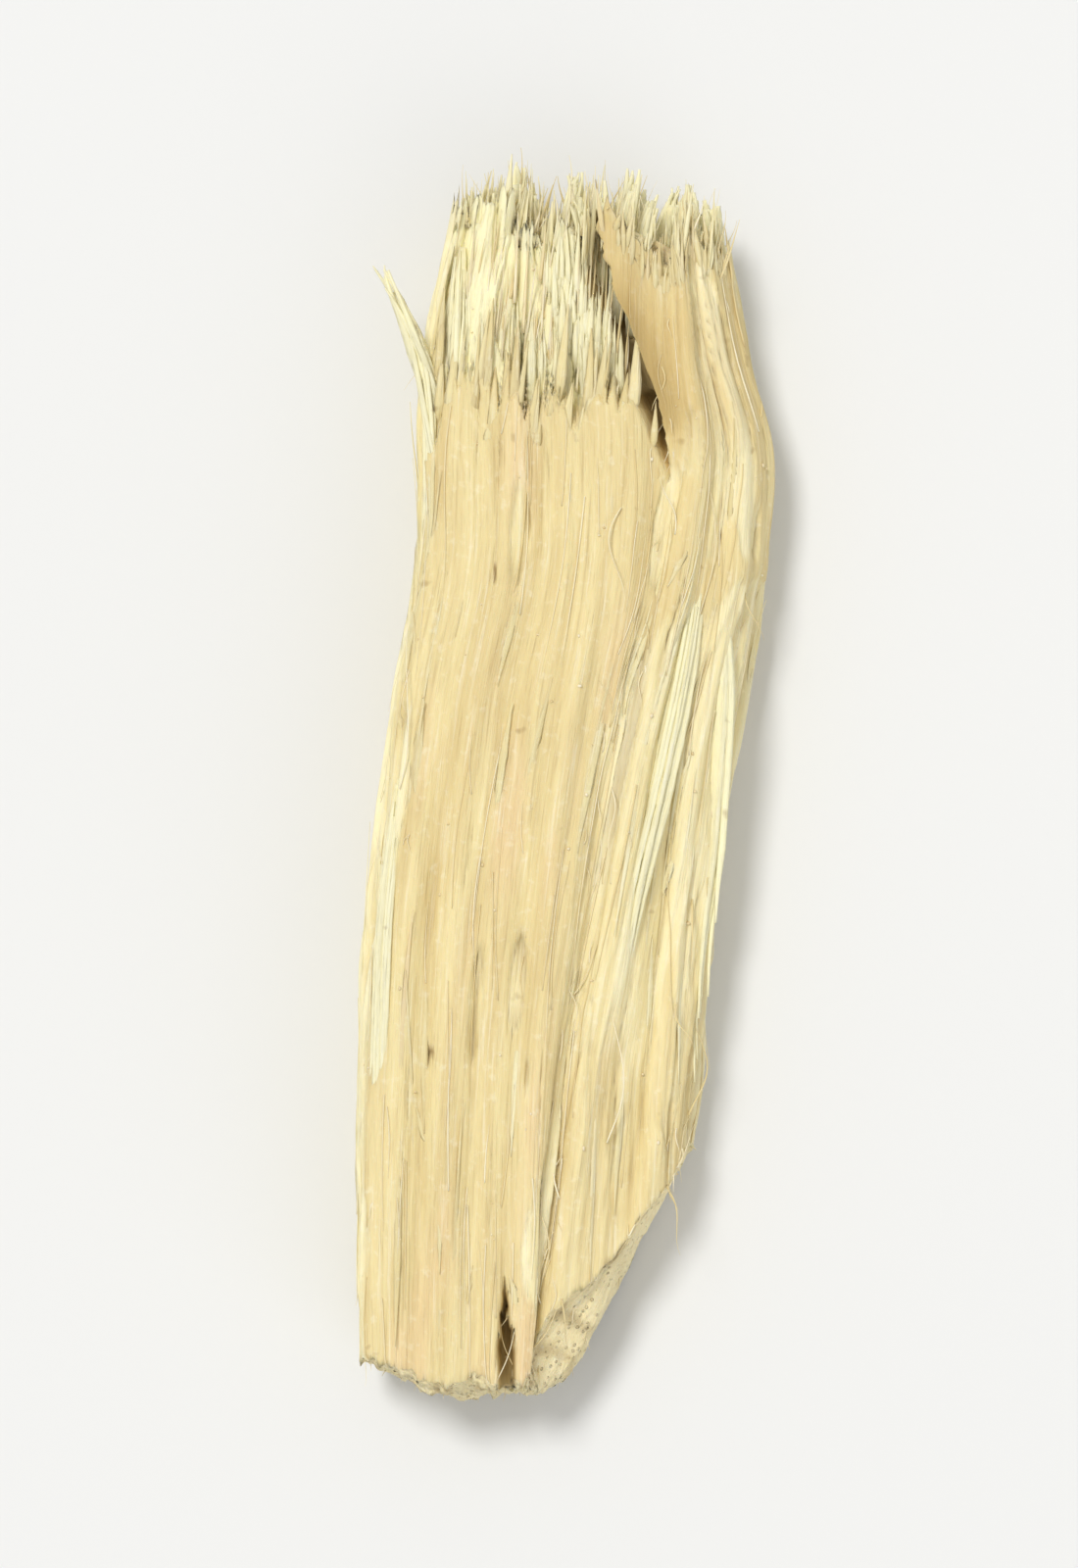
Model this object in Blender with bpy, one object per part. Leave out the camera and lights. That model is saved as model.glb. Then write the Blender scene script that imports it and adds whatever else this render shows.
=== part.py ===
# One chip of cut, dried marshmallow root: a long fibrous slab lying on its flat split face.
# X runs across the chip, Y along its grain, Z up. Sizes below are in millimetres.
# The chip has a gently crowned upper face, a ridged facet down its right side, an end cut on the
# slant at -Y, and a torn end at +Y where a strip of the outer layer has come away.

import math
import random

import bmesh
import bpy
import numpy as np
from mathutils import Vector

MM = 0.001
SEED = 17
CHIP_COLOUR = (0.70, 0.57, 0.33, 1.0)
CHIP_ROUGHNESS = 0.85
SHARP_ANGLE = 40

# The slab: its upper face drops and its underside rises towards both ends, and it twists a little
THICKNESS = 2.0
MIDDLE_Y = 0.6
CROWN_DROP = 0.16
CROWN_REACH = 6.4
HALF_LENGTH = 7.0
END_RISE = 0.45
END_RISE_POWER = 3.2
FLAT_SINK = 0.07
TWIST = 0.10

# Sides of the slab seen from above, as (y, x)
LEFT_SIDE = [
    (-7.3, -1.70), (-5.6, -1.84), (-1.2, -2.08), (1.0, -2.03), (2.8, -1.88), (4.6, -2.02), (7.0, -1.80),
]
RIGHT_SIDE = [
    (-7.3, 2.02), (-2.6, 1.98), (0.6, 2.08), (3.2, 2.28), (4.4, 2.22), (5.4, 1.84), (7.0, 1.40),
]

# Corners of the section, seen along the grain: u across from -1 to 1, w up from 0 to 1
SECTION = [
    (-0.97, 0.80), (-0.86, 0.93), (-0.45, 0.98), (0.10, 1.00), (0.24, 0.97), (0.33, 0.88), (0.43, 0.94),
    (0.58, 0.84), (0.76, 0.81), (0.95, 0.58), (1.00, 0.36), (0.88, 0.08), (0.62, 0.00),
    (-0.10, 0.02), (-0.66, 0.00), (-0.92, 0.07), (-0.96, 0.30), (-1.00, 0.52),
]
SECTION_STEPS = 24
HEART = (0.0, 0.48)
POINTS_AROUND = 64
ROWS_ALONG = 40
CAP_RINGS = 5

# The furrow between the upper face and the facet runs a little across the grain
FURROW_U = 0.40
FURROW_HALF_WIDTH = 0.22
FURROW_DRIFT = 0.035
FURROW_STILL_Y = 0.8

# The cut end: square on the left, slanted on the right, its face tipped a little upwards, with
# shallow steps as (height, waves across, waves up)
CUT_Y = -7.12
SLANT_FROM = 0.28
SLANT_RISE = 4.1
SLANT_SHARPNESS = 14
LEFT_CORNER = 0.22
LEFT_CORNER_U = -0.35
LEFT_CORNER_WIDTH = 0.6
CUT_TIP = 0.42
CUT_STEPS = [(0.05, 9, 4), (0.04, 17, -6)]

# The torn end: teeth as (share of the depth, waves across, waves up, turn)
TORN_Y = 6.75
TORN_DEPTH = 0.42
TORN_TEETH = [(0.5, 8.5, 2.0, 0.0), (0.3, 15.0, 5.0, 1.0), (0.3, 3.0, 6.0, 0.0)]
TORN_CORNER = 0.25
RIM_ROUND = 0.10
END_RELIEF = 0.4
END_RELIEF_GAIN = 9

# Grain relief: waves round the section and their height, which wander slowly along the grain
FURROW_WAVES = [(11, 0.045), (19, 0.028), (29, 0.014)]
# Deep shrinkage grooves, as (place round the section from 0 to 1, from y, to y, depth)
GROOVES = [
    (0.13, -5.8, 2.6, 0.06), (0.21, -1.5, 4.2, 0.05), (0.345, -4.6, 0.9, 0.13), (0.47, -3.0, 6.2, 0.10),
    (0.60, -6.8, 1.2, 0.22), (0.69, -1.8, 6.6, 0.20), (0.78, -6.4, 4.8, 0.22), (0.93, -4.6, 3.4, 0.14),
]
GROOVE_HALF_WIDTH = 0.022
GROOVE_WANDER = 0.006
GROOVE_FADE = 1.2

# The crack at the torn end, as (x, y), and the outer layer that curls up along its right edge
CRACK = [(1.00, 3.90), (0.80, 4.42), (0.46, 5.16), (0.20, 5.68), (-0.06, 6.22), (-0.50, 7.40)]
CRACK_WIDTH = 0.24
CRACK_DEPTH = 0.85
CRACK_LEAN = 0.30
LIP_LIFT = 0.16
LIP_RUN = 1.6
LIP_REACH = 0.7
LIP_START = -0.12

# The torn-away strip to the left of the crack
TEAR_LEFT_X = -2.6
TEAR_EDGE_Y = 4.55
TEAR_END_Y = 7.9
TEAR_TEETH = 7
TEAR_TOOTH = 0.30
TEAR_JITTER = 0.04
TEAR_DEPTH = 0.30
TEAR_SLOPE = 0.07
TEAR_CROWN = 0.05
TEAR_CROWN_X = -0.7

# The split in the cut end
SPLIT = [(-0.10, -5.70), (0.00, -6.55), (0.18, -7.92)]
SPLIT_WIDTH = 0.22
SPLIT_DEPTH = 0.75

# How a slit's wedge widens and deepens point by point from its first
WEDGE_FIRST = 0.35
WEDGE_WIDEN = 0.5
WEDGE_DEEPEN = 0.4
WEDGE_SHOULDER = 0.12

# Strands that stand out along the facet and the left side: points as x, y and lift over the skin,
# half width, and the share of the width left at a broken loose end, or none if both ends are sunk
STRANDS = [
    ([(1.62, 3.20, -0.16), (1.84, 1.70, -0.05), (1.90, 0.00, 0.00), (1.88, -1.60, 0.02), (1.98, -3.10, 0.04)],
     0.18, 0.25),
    ([(1.42, 3.00, -0.14), (1.32, 1.80, -0.03), (1.14, 0.30, -0.01), (0.96, -1.10, 0.00),
      (0.88, -2.60, -0.14)], 0.15, None),
    ([(-1.72, -4.40, -0.14), (-1.80, -3.00, 0.01), (-1.86, -1.60, 0.03), (-1.84, 0.10, -0.12)], 0.13, None),
    ([(-1.55, 3.60, -0.30), (-1.86, 4.60, -0.14), (-2.22, 5.40, -0.10), (-2.66, 6.10, -0.14)], 0.15, 0.20),
]
STRAND_FLATNESS = 0.75
STRAND_SIDES = 5
STRAND_STEPS = 3
STRAND_TURN = 0.3

# Splinters that carry on from the torn end
SPLINTERS = 20
SPLINTER_FROM_X = -1.62
SPLINTER_SPAN = 2.97
SPLINTER_ROOT = 1.2
SPLINTER_Z = (0.45, 1.42)
SPLINTER_BASE = 0.5
SPLINTER_REACH = (0.12, 0.78)
SPLINTER_BEND = 0.14
SPLINTER_LIFT = (-0.10, 0.16)
SPLINTER_HALF_WIDTH = (0.11, 0.22)
SPLINTER_FLATNESS = (0.5, 0.85)
SPLINTER_TIP = (0.15, 0.65)
SPLINTER_SLANT = 0.08

# Bundles of fibre left standing in the floor of the torn-away strip
RIDGES = 6
RIDGE_FROM_X = -1.62
RIDGE_SPACING = 0.32
RIDGE_HALF_WIDTH = (0.13, 0.19)
RIDGE_FLATNESS = 0.8


def clear_scene():
    for thing in list(bpy.data.objects):
        bpy.data.objects.remove(thing, do_unlink=True)


def root_material():
    material = bpy.data.materials.new("dried_root")
    material.use_nodes = True
    shader = material.node_tree.nodes["Principled BSDF"]
    shader.inputs["Base Color"].default_value = CHIP_COLOUR
    shader.inputs["Roughness"].default_value = CHIP_ROUGHNESS
    shader.inputs["Metallic"].default_value = 0.0
    return material


def smooth_through(points, where):
    # A smooth curve through (place, value) points, level or leaning as its neighbours do
    places = np.array([p[0] for p in points], dtype=float)
    values = np.array([p[1] for p in points], dtype=float)
    slopes = np.gradient(values, places)
    where = np.clip(np.asarray(where, dtype=float), places[0], places[-1])
    left = np.clip(np.searchsorted(places, where) - 1, 0, len(places) - 2)
    span = places[left + 1] - places[left]
    t = (where - places[left]) / span
    start = values[left] * (1 + 2 * t) * (1 - t) ** 2 + slopes[left] * span * t * (1 - t) ** 2
    end = values[left + 1] * t * t * (3 - 2 * t) - slopes[left + 1] * span * t * t * (1 - t)
    return start + end


def between(a, b, c, d, t):
    # A point on the smooth curve from b to c, with a before them and d after
    return 0.5 * (2 * b + (c - a) * t + (2 * a - 5 * b + 4 * c - d) * t * t
                  + (3 * b - a - 3 * c + d) * t ** 3)


def section_points(count):
    # Points at even steps along a smooth closed curve through the section's corners
    fine = []
    total = len(SECTION)
    for i in range(total):
        a, b, c, d = (np.array(SECTION[(i + k) % total]) for k in (-1, 0, 1, 2))
        fine += [between(a, b, c, d, t) for t in np.linspace(0, 1, SECTION_STEPS, endpoint=False)]
    fine = np.array(fine + fine[:1])
    half_width = 2.0
    steps = np.hypot(np.diff(fine[:, 0]) * half_width, np.diff(fine[:, 1]) * THICKNESS)
    run = np.concatenate([[0.0], np.cumsum(steps)])
    stops = np.linspace(0, run[-1], count, endpoint=False)
    return np.interp(stops, run, fine[:, 0]), np.interp(stops, run, fine[:, 1])


def place(u, w, y):
    # Where a point of the section lies in the slab at the length y
    near_furrow = np.exp(-((u - FURROW_U) / FURROW_HALF_WIDTH) ** 2) * np.clip((w - 0.6) / 0.2, 0, 1)
    drift = FURROW_DRIFT * (y - FURROW_STILL_Y) * near_furrow
    left = smooth_through(LEFT_SIDE, y)
    right = smooth_through(RIGHT_SIDE, y)
    x = left + (u + drift + 1) / 2 * (right - left)
    top = THICKNESS - CROWN_DROP * ((y - MIDDLE_Y) / CROWN_REACH) ** 2
    base = END_RISE * np.abs(y / HALF_LENGTH) ** END_RISE_POWER - FLAT_SINK
    z = base + w * (top - base) + TWIST * u * w * y / HALF_LENGTH
    return x, z


def cut_end(u, w):
    slant = np.logaddexp(0, (u - SLANT_FROM) * SLANT_SHARPNESS) / SLANT_SHARPNESS * SLANT_RISE
    corner = LEFT_CORNER * np.clip((LEFT_CORNER_U - u) / LEFT_CORNER_WIDTH, 0, 1) ** 2
    tip = CUT_TIP * w * (0.25 + 0.75 * np.clip(u + 0.2, 0, 1))
    steps = sum(height * np.sin(across * u + up * w) for height, across, up in CUT_STEPS)
    return CUT_Y + slant + corner + tip + steps


def torn_end(u, w):
    teeth = sum(share * np.sin(across * u + up * w + turn) for share, across, up, turn in TORN_TEETH)
    return TORN_Y + TORN_DEPTH * 0.5 * teeth - TORN_CORNER * np.clip(u, 0, 1) ** 2


def groove_depth(around, y):
    depth = np.zeros_like(y)
    for where, start, stop, deep in GROOVES:
        off = (around - where + 0.5) % 1.0 - 0.5 + GROOVE_WANDER * np.sin(0.9 * y + 20 * where)
        fade = np.clip((y - start) / GROOVE_FADE, 0, 1) * np.clip((stop - y) / GROOVE_FADE, 0, 1)
        depth += deep * fade * np.clip(1 - np.abs(off) / GROOVE_HALF_WIDTH, 0, 1)
    return depth


def grain_relief(around, y):
    # Height of the skin above its smooth form, with furrows that wander slowly along the grain
    height = -groove_depth(around, y)
    for number, (waves, size) in enumerate(FURROW_WAVES):
        wander = 0.7 * np.sin(0.55 * y + number * 2.1) + 0.4 * np.sin(1.3 * y + number)
        height += size * np.sin(2 * math.pi * waves * around + wander + number * 1.7)
    return height


def crack_x(y):
    line = sorted((p[1], p[0]) for p in CRACK)
    return np.interp(y, [p[0] for p in line], [p[1] for p in line])


def lip_lift(x, y):
    beyond = x - crack_x(y)
    rise = np.clip((y - CRACK[0][1]) / LIP_RUN, 0, 1)
    return LIP_LIFT * rise * np.exp(-np.clip(beyond, 0, None) / LIP_REACH) * (beyond > LIP_START)


def ring_at(u, w, y, around, relief):
    # One ring of the slab's skin: its smooth place, then the relief along its outward direction
    x, z = place(u, w, y)
    across = np.roll(x, -1) - np.roll(x, 1)
    up = np.roll(z, -1) - np.roll(z, 1)
    reach = np.hypot(across, up) + 1e-9
    height = grain_relief(around, y) * relief
    x = x - up / reach * height
    z = z + across / reach * height
    z = z + lip_lift(x, y) * np.clip((w - 0.8) / 0.15, 0, 1) * relief
    return np.stack([x, y, np.maximum(z, 0.0)], axis=1)


def cap_ring(u, w, around, size, end, inwards):
    # A ring of an end face, drawn in towards the heart of the section
    inner_u = HEART[0] + (u - HEART[0]) * size
    inner_w = HEART[1] + (w - HEART[1]) * size
    y = end(inner_u, inner_w) + inwards * RIM_ROUND * size ** 6
    return ring_at(inner_u, inner_w, y, around, END_RELIEF * size ** 4)


def slab_rings():
    # Rings from the middle of the cut end, along the sides, to the middle of the torn end
    u, w = section_points(POINTS_AROUND)
    around = np.arange(POINTS_AROUND) / POINTS_AROUND
    start = cut_end(u, w)
    stop = torn_end(u, w)
    sizes = [step / CAP_RINGS for step in range(1, CAP_RINGS)]
    rings = [cap_ring(u, w, around, size, cut_end, 1) for size in sizes]
    for step in range(ROWS_ALONG + 1):
        part = step / ROWS_ALONG
        y = start + RIM_ROUND + part * (stop - start - 2 * RIM_ROUND)
        relief = min(1.0, END_RELIEF + END_RELIEF_GAIN * min(part, 1 - part))
        rings.append(ring_at(u, w, y, around, relief))
    rings += [cap_ring(u, w, around, size, torn_end, -1) for size in reversed(sizes)]
    return rings


def centre_point(end):
    y = float(end(np.array(HEART[0]), np.array(HEART[1])))
    x, z = place(np.array(HEART[0]), np.array(HEART[1]), np.array(y))
    return (float(x), y, float(z))


def mesh_object(name, points, faces, collection):
    mesh = bpy.data.meshes.new(name)
    mesh.from_pydata([tuple(float(c) for c in p) for p in points], [], faces)
    shape = bmesh.new()
    shape.from_mesh(mesh)
    bmesh.ops.recalc_face_normals(shape, faces=shape.faces)
    shape.to_mesh(mesh)
    shape.free()
    thing = bpy.data.objects.new(name, mesh)
    collection.objects.link(thing)
    return thing


def tube_faces(ring_count, around):
    # Quads between rings of points
    faces = []
    for ring in range(ring_count - 1):
        for i in range(around):
            j = (i + 1) % around
            low, high = ring * around, (ring + 1) * around
            faces.append((low + i, low + j, high + j, high + i))
    return faces


def build_slab(name):
    rings = slab_rings()
    count = len(rings)
    points = np.concatenate(rings).tolist()
    points += [centre_point(cut_end), centre_point(torn_end)]
    faces = tube_faces(count, POINTS_AROUND)
    first, last = count * POINTS_AROUND, count * POINTS_AROUND + 1
    for i in range(POINTS_AROUND):
        j = (i + 1) % POINTS_AROUND
        faces.append((first, j, i))
        faces.append((last, (count - 1) * POINTS_AROUND + i, (count - 1) * POINTS_AROUND + j))
    return mesh_object(name, points, faces, bpy.context.scene.collection)


def top_height(x, y):
    # Height of the slab's upper skin over a point
    u, w = section_points(POINTS_AROUND)
    upper = w > 0.5
    across, height = place(u, w, np.full_like(u, y))
    order = np.argsort(across[upper])
    return float(np.interp(x, across[upper][order], height[upper][order]))


def tear_outline():
    # The torn-away strip seen from above: a toothed lower edge, then up beside the crack
    rng = random.Random(SEED)
    foot_x, foot_y = CRACK[1]
    edge = []
    for i in range(2 * TEAR_TEETH):
        x = TEAR_LEFT_X + (foot_x - TEAR_LEFT_X) * i / (2 * TEAR_TEETH)
        swing = (TEAR_TOOTH if i % 2 else -TEAR_TOOTH) * min(1.0, (foot_x - x) / 0.8)
        edge.append((x + rng.uniform(-TEAR_JITTER, TEAR_JITTER), TEAR_EDGE_Y + swing * rng.uniform(0.3, 1.0)))
    return edge + CRACK[1:] + [(CRACK[-1][0], TEAR_END_Y), (TEAR_LEFT_X, TEAR_END_Y)]


def build_tear_cutter(collection):
    outline = tear_outline()
    count = len(outline)
    low = []
    for x, y in outline:
        drop = TEAR_DEPTH + TEAR_SLOPE * (y - TEAR_EDGE_Y) + TEAR_CROWN * abs(x - TEAR_CROWN_X)
        low.append((x, y, THICKNESS - drop))
    high = [(x, y, 2 * THICKNESS) for x, y in outline]
    faces = tube_faces(2, count) + [tuple(range(count)), tuple(range(count, 2 * count))]
    return mesh_object("tear_cutter", low + high, faces, collection)


def build_wedge(name, line, width, depth, lean, collection):
    # A slit that narrows downwards and towards its first point, along a line of (x, y)
    points = []
    for i, (x, y) in enumerate(line):
        half = width / 2 * min(1.0, WEDGE_FIRST + WEDGE_WIDEN * i)
        deep = depth * min(1.0, WEDGE_FIRST + WEDGE_DEEPEN * i)
        shoulder = THICKNESS - WEDGE_SHOULDER
        points += [(x - half, y, THICKNESS + 1.0), (x + half, y, THICKNESS + 1.0),
                   (x + half * 0.8, y, shoulder), (x + lean, y, THICKNESS - deep),
                   (x - half * 0.8, y, shoulder)]
    end = (len(line) - 1) * 5
    faces = tube_faces(len(line), 5) + [(0, 1, 2, 3, 4), tuple(end + k for k in range(5))]
    return mesh_object(name, points, faces, collection)


def strand_girth(run, tip):
    # Share of a strand's half width at a place along it, from its root, at 0, to its end, at 1
    if tip is None:
        return 0.25 + 0.75 * math.sin(math.pi * (0.10 + 0.80 * run))
    rise = 0.40 + 0.60 * min(run / 0.3, 1.0)
    return min(rise, tip + (1 - tip) * min((1 - run) / 0.45, 1.0) ** 0.8)


def build_strand(name, path, half_width, flatness, tip, slant, collection):
    # A strand of fibres through points in space. A loose one is broken off on a slant, and one
    # without a tip is sunk at both ends.
    knots = [Vector(p) for p in path]
    spine = []
    for i in range(len(knots) - 1):
        near = knots[max(i - 1, 0)], knots[i], knots[i + 1], knots[min(i + 2, len(knots) - 1)]
        spine += [between(*near, k / STRAND_STEPS) for k in range(STRAND_STEPS)]
    spine.append(knots[-1])
    points = []
    last = len(spine) - 1
    for i, centre in enumerate(spine):
        ahead = (spine[min(i + 1, last)] - spine[max(i - 1, 0)]).normalized()
        side = ahead.cross(Vector((0, 0, 1))).normalized()
        over = side.cross(ahead)
        radius = half_width * strand_girth(i / last, tip)
        for k in range(STRAND_SIDES):
            angle = 2 * math.pi * k / STRAND_SIDES + STRAND_TURN * i / last
            point = centre + side * math.cos(angle) * radius + over * math.sin(angle) * radius * flatness
            if i == last:
                point = point + ahead * math.cos(angle) * slant
            points.append(point)
    end = last * STRAND_SIDES
    faces = tube_faces(last + 1, STRAND_SIDES)
    faces += [tuple(range(STRAND_SIDES)), tuple(end + k for k in range(STRAND_SIDES))]
    return mesh_object(name, points, faces, collection)


def build_side_strands(collection):
    for number, (line, half_width, tip) in enumerate(STRANDS):
        path = [(x, y, top_height(min(max(x, -1.8), 1.9), y) + lift) for x, y, lift in line]
        build_strand("side_strand_%d" % number, path, half_width, STRAND_FLATNESS, tip, 0.0, collection)


def build_splinters(collection):
    rng = random.Random(SEED + 1)
    for i in range(SPLINTERS):
        x = SPLINTER_FROM_X + SPLINTER_SPAN * (i + rng.uniform(0.2, 0.8)) / SPLINTERS
        z = rng.uniform(*SPLINTER_Z)
        reach = rng.uniform(*SPLINTER_REACH)
        bend = rng.uniform(-SPLINTER_BEND, SPLINTER_BEND)
        lift = rng.uniform(*SPLINTER_LIFT)
        base_y, tip_y = TORN_Y - SPLINTER_BASE, TORN_Y + reach
        path = [(x, TORN_Y - SPLINTER_ROOT, z), (x, base_y, z),
                (x + 0.4 * bend, (base_y + tip_y) / 2, z + 0.3 * lift), (x + bend, tip_y, z + lift)]
        half_width = rng.uniform(*SPLINTER_HALF_WIDTH)
        flatness = rng.uniform(*SPLINTER_FLATNESS)
        tip = rng.uniform(*SPLINTER_TIP)
        slant = rng.uniform(-SPLINTER_SLANT, SPLINTER_SLANT)
        build_strand("splinter_%d" % i, path, half_width, flatness, tip, slant, collection)


def build_tear_ridges(collection):
    rng = random.Random(SEED + 2)
    bare = THICKNESS - TEAR_DEPTH
    for i in range(RIDGES):
        x = RIDGE_FROM_X + RIDGE_SPACING * i + rng.uniform(-0.05, 0.05)
        start = 4.2 + rng.uniform(-0.1, 0.3)
        stop = 6.3 - 0.12 * i + rng.uniform(-0.2, 0.4)
        path = [(x + 0.05, start, bare - 0.16), (x, start + 0.7, bare - 0.08),
                (x - 0.03, (start + stop) / 2 + 0.3, bare - 0.14), (x - 0.06, stop, bare - 0.24)]
        half_width = rng.uniform(*RIDGE_HALF_WIDTH)
        build_strand("tear_ridge_%d" % i, path, half_width, RIDGE_FLATNESS, None, 0.0, collection)


def apply_boolean(thing, operation, solver, collection):
    tool = thing.modifiers.new(operation.lower(), "BOOLEAN")
    tool.operation = operation
    tool.operand_type = "COLLECTION"
    tool.collection = collection
    tool.solver = solver
    graph = bpy.context.evaluated_depsgraph_get()
    shaped = bpy.data.meshes.new_from_object(thing.evaluated_get(graph))
    thing.modifiers.clear()
    thing.data = shaped
    for used in list(collection.objects):
        bpy.data.objects.remove(used, do_unlink=True)


def new_collection(name):
    collection = bpy.data.collections.new(name)
    bpy.context.scene.collection.children.link(collection)
    return collection


def stand_at_origin(thing):
    # The origin is under the middle of the chip's box, at the level it rests on. The shape is
    # worked out in millimetres, so this is also where it comes to its real size in metres.
    spots = np.array([v.co for v in thing.data.vertices])
    low, high = spots.min(axis=0), spots.max(axis=0)
    shift = Vector((-(low[0] + high[0]) / 2, -(low[1] + high[1]) / 2, -low[2]))
    for vertex in thing.data.vertices:
        vertex.co = (vertex.co + shift) * MM


def build_chip():
    chip = build_slab("root_chip")
    cutters = new_collection("cuts")
    build_tear_cutter(cutters)
    build_wedge("crack_cutter", CRACK, CRACK_WIDTH, CRACK_DEPTH, CRACK_LEAN, cutters)
    build_wedge("split_cutter", SPLIT, SPLIT_WIDTH, SPLIT_DEPTH, 0.0, cutters)
    apply_boolean(chip, "DIFFERENCE", "EXACT", cutters)
    strands = new_collection("strands")
    build_side_strands(strands)
    build_splinters(strands)
    build_tear_ridges(strands)
    apply_boolean(chip, "UNION", "MANIFOLD", strands)
    stand_at_origin(chip)
    chip.data.shade_smooth()
    chip.data.set_sharp_from_angle(angle=math.radians(SHARP_ANGLE))
    chip.data.materials.clear()
    chip.data.materials.append(root_material())
    return chip


clear_scene()
build_chip()
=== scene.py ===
import itertools
import math
import random

import bpy
import numpy as np
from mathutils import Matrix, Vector


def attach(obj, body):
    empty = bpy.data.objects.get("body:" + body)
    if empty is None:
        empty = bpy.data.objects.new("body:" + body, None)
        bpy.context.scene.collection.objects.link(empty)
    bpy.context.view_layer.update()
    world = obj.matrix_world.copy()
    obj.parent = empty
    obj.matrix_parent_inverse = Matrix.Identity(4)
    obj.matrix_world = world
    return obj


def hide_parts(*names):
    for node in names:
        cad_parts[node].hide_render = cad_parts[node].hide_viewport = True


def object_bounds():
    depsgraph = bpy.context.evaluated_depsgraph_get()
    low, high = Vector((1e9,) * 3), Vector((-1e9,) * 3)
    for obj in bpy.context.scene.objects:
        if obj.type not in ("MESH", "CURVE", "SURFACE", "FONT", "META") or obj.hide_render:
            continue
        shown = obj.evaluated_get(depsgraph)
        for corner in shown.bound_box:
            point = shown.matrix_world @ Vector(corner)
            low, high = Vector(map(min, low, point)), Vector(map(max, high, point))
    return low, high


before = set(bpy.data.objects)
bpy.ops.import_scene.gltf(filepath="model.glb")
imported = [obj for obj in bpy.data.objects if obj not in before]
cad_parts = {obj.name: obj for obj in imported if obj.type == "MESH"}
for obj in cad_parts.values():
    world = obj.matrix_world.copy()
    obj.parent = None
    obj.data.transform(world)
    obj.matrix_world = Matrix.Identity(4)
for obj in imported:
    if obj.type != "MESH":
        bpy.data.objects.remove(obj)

seeded = np.random.default_rng

# Shapes are worked out in millimetres in the chip's own lengthwise places, and come to the
# frame's metres where a mesh is made.
mm = 0.001
chipShift = np.array([0.2124, -0.1816, 0.0])
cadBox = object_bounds()
print("frame loaded")


# The slab: its sides seen from above as (y, x), and its section's corners seen along the grain,
# across from -1 to 1 and up from 0 to 1
slab = {
    "thickness": 2.0,
    "crownDrop": 0.16,
    "endRise": 0.45,          # the underside lifts off the table towards both ends
    "flatSink": 0.07,
    "twist": 0.1,
    "leftSide": [(-7.3, -1.7), (-5.6, -1.84), (-1.2, -2.08), (1.0, -2.03), (2.8, -1.88), (4.6, -2.02),
                 (7.0, -1.8)],
    "rightSide": [(-7.3, 2.02), (-2.6, 1.98), (0.6, 2.08), (3.2, 2.28), (4.4, 2.22), (5.4, 1.84), (7.0, 1.4)],
    "section": [
        (-0.97, 0.8), (-0.86, 0.93), (-0.45, 0.98), (0.1, 1.0), (0.24, 0.97), (0.33, 0.88), (0.43, 0.94),
        (0.58, 0.84), (0.76, 0.81), (0.95, 0.58), (1.0, 0.36), (0.88, 0.08), (0.62, 0.0),
        (-0.1, 0.02), (-0.66, 0.0), (-0.92, 0.07), (-0.96, 0.3), (-1.0, 0.52),
    ],
    "edges": [(-1.9, 1.75), (-1.95, 0.3), (1.85, 1.2), (1.8, 0.3), (0.75, 1.75), (0.9, 1.8)],   # x, z
    "heart": (0.0, 0.48),
    "furrowDrift": 0.035,
    "around": 420,
    "rows": 164,
    "capRings": 30,
    "upperShare": 1.8,        # points are this much closer on the upper side
    "tearShare": 2.4,         # and rows this much closer by the torn end
    "girth": 11.4,
    "heights": (0.004, 2.09),  # loose pieces stay between these
}
ends = {
    "cutY": -7.12, "slantFrom": 0.28, "slantRise": 4.1, "cutTip": 0.42,
    "tornY": 6.75, "tornDepth": 0.42, "tornCorner": 0.25, "rim": 0.1,
    "tornCells": 420, "tornJag": 0.12, "cutCells": 420, "cutJag": 0.055,
    "bareU": -0.16, "bareW": 0.78,       # the torn-away strip's end is lower than the rest
    "slips": 84, "tornSlip": 0.5, "cutSlip": 0.07, "teeth": 230, "tornTooth": 0.16,
    "rays": [(0.07, 56, 0.9, 56), (0.05, 90, 0.1, 57)],
}


def unit(value):
    return np.clip(value, 0, 1)


def ease(low, high, value):
    # a smooth step from 0 to 1
    t = unit((value - low) / (high - low))
    return t * t * (3 - 2 * t)


def bell(off, width):
    return np.exp(-(off / width) ** 2)


def running(steps):
    return np.concatenate([[0.0], np.cumsum(steps)])


def evenly(count):
    return np.linspace(0, 1, count)


def smoothThrough(points, where):
    places, values = np.array(points, dtype=float).T
    slopes = np.gradient(values, places)
    where = np.clip(where, places[0], places[-1])
    left = np.clip(np.searchsorted(places, where) - 1, 0, len(places) - 2)
    span = places[left + 1] - places[left]
    t = (where - places[left]) / span
    start = values[left] * (1 + 2 * t) * (1 - t) ** 2 + slopes[left] * span * t * (1 - t) ** 2
    return start + (values[left + 1] * t * t * (3 - 2 * t) - slopes[left + 1] * span * t * t * (1 - t))


def curveThrough(knots, steps):
    # a smooth open curve through knots in space
    knots = np.asarray(knots, dtype=float)
    padded = np.concatenate([knots[:1], knots, knots[-1:]])
    t = np.linspace(0, 1, steps, endpoint=False)[:, None]
    spans = [0.5 * (2 * b + (c - a) * t + (2 * a - 5 * b + 4 * c - d) * t * t
                    + (3 * b - a - 3 * c + d) * t ** 3)
             for a, b, c, d in zip(padded, padded[1:], padded[2:], padded[3:])]
    return np.concatenate(spans + [knots[-1:]])


def sectionOutline():
    # the section's smooth outline: how far round it is from 0 to 1, across and up
    corners = slab["section"]
    across, up = curveThrough([corners[-1]] + corners + corners[:2], 24)[24:-24].T
    run = running(np.hypot(np.diff(across) * 2.0, np.diff(up) * slab["thickness"]))
    return run / run[-1], across, up


outline = sectionOutline()


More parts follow.
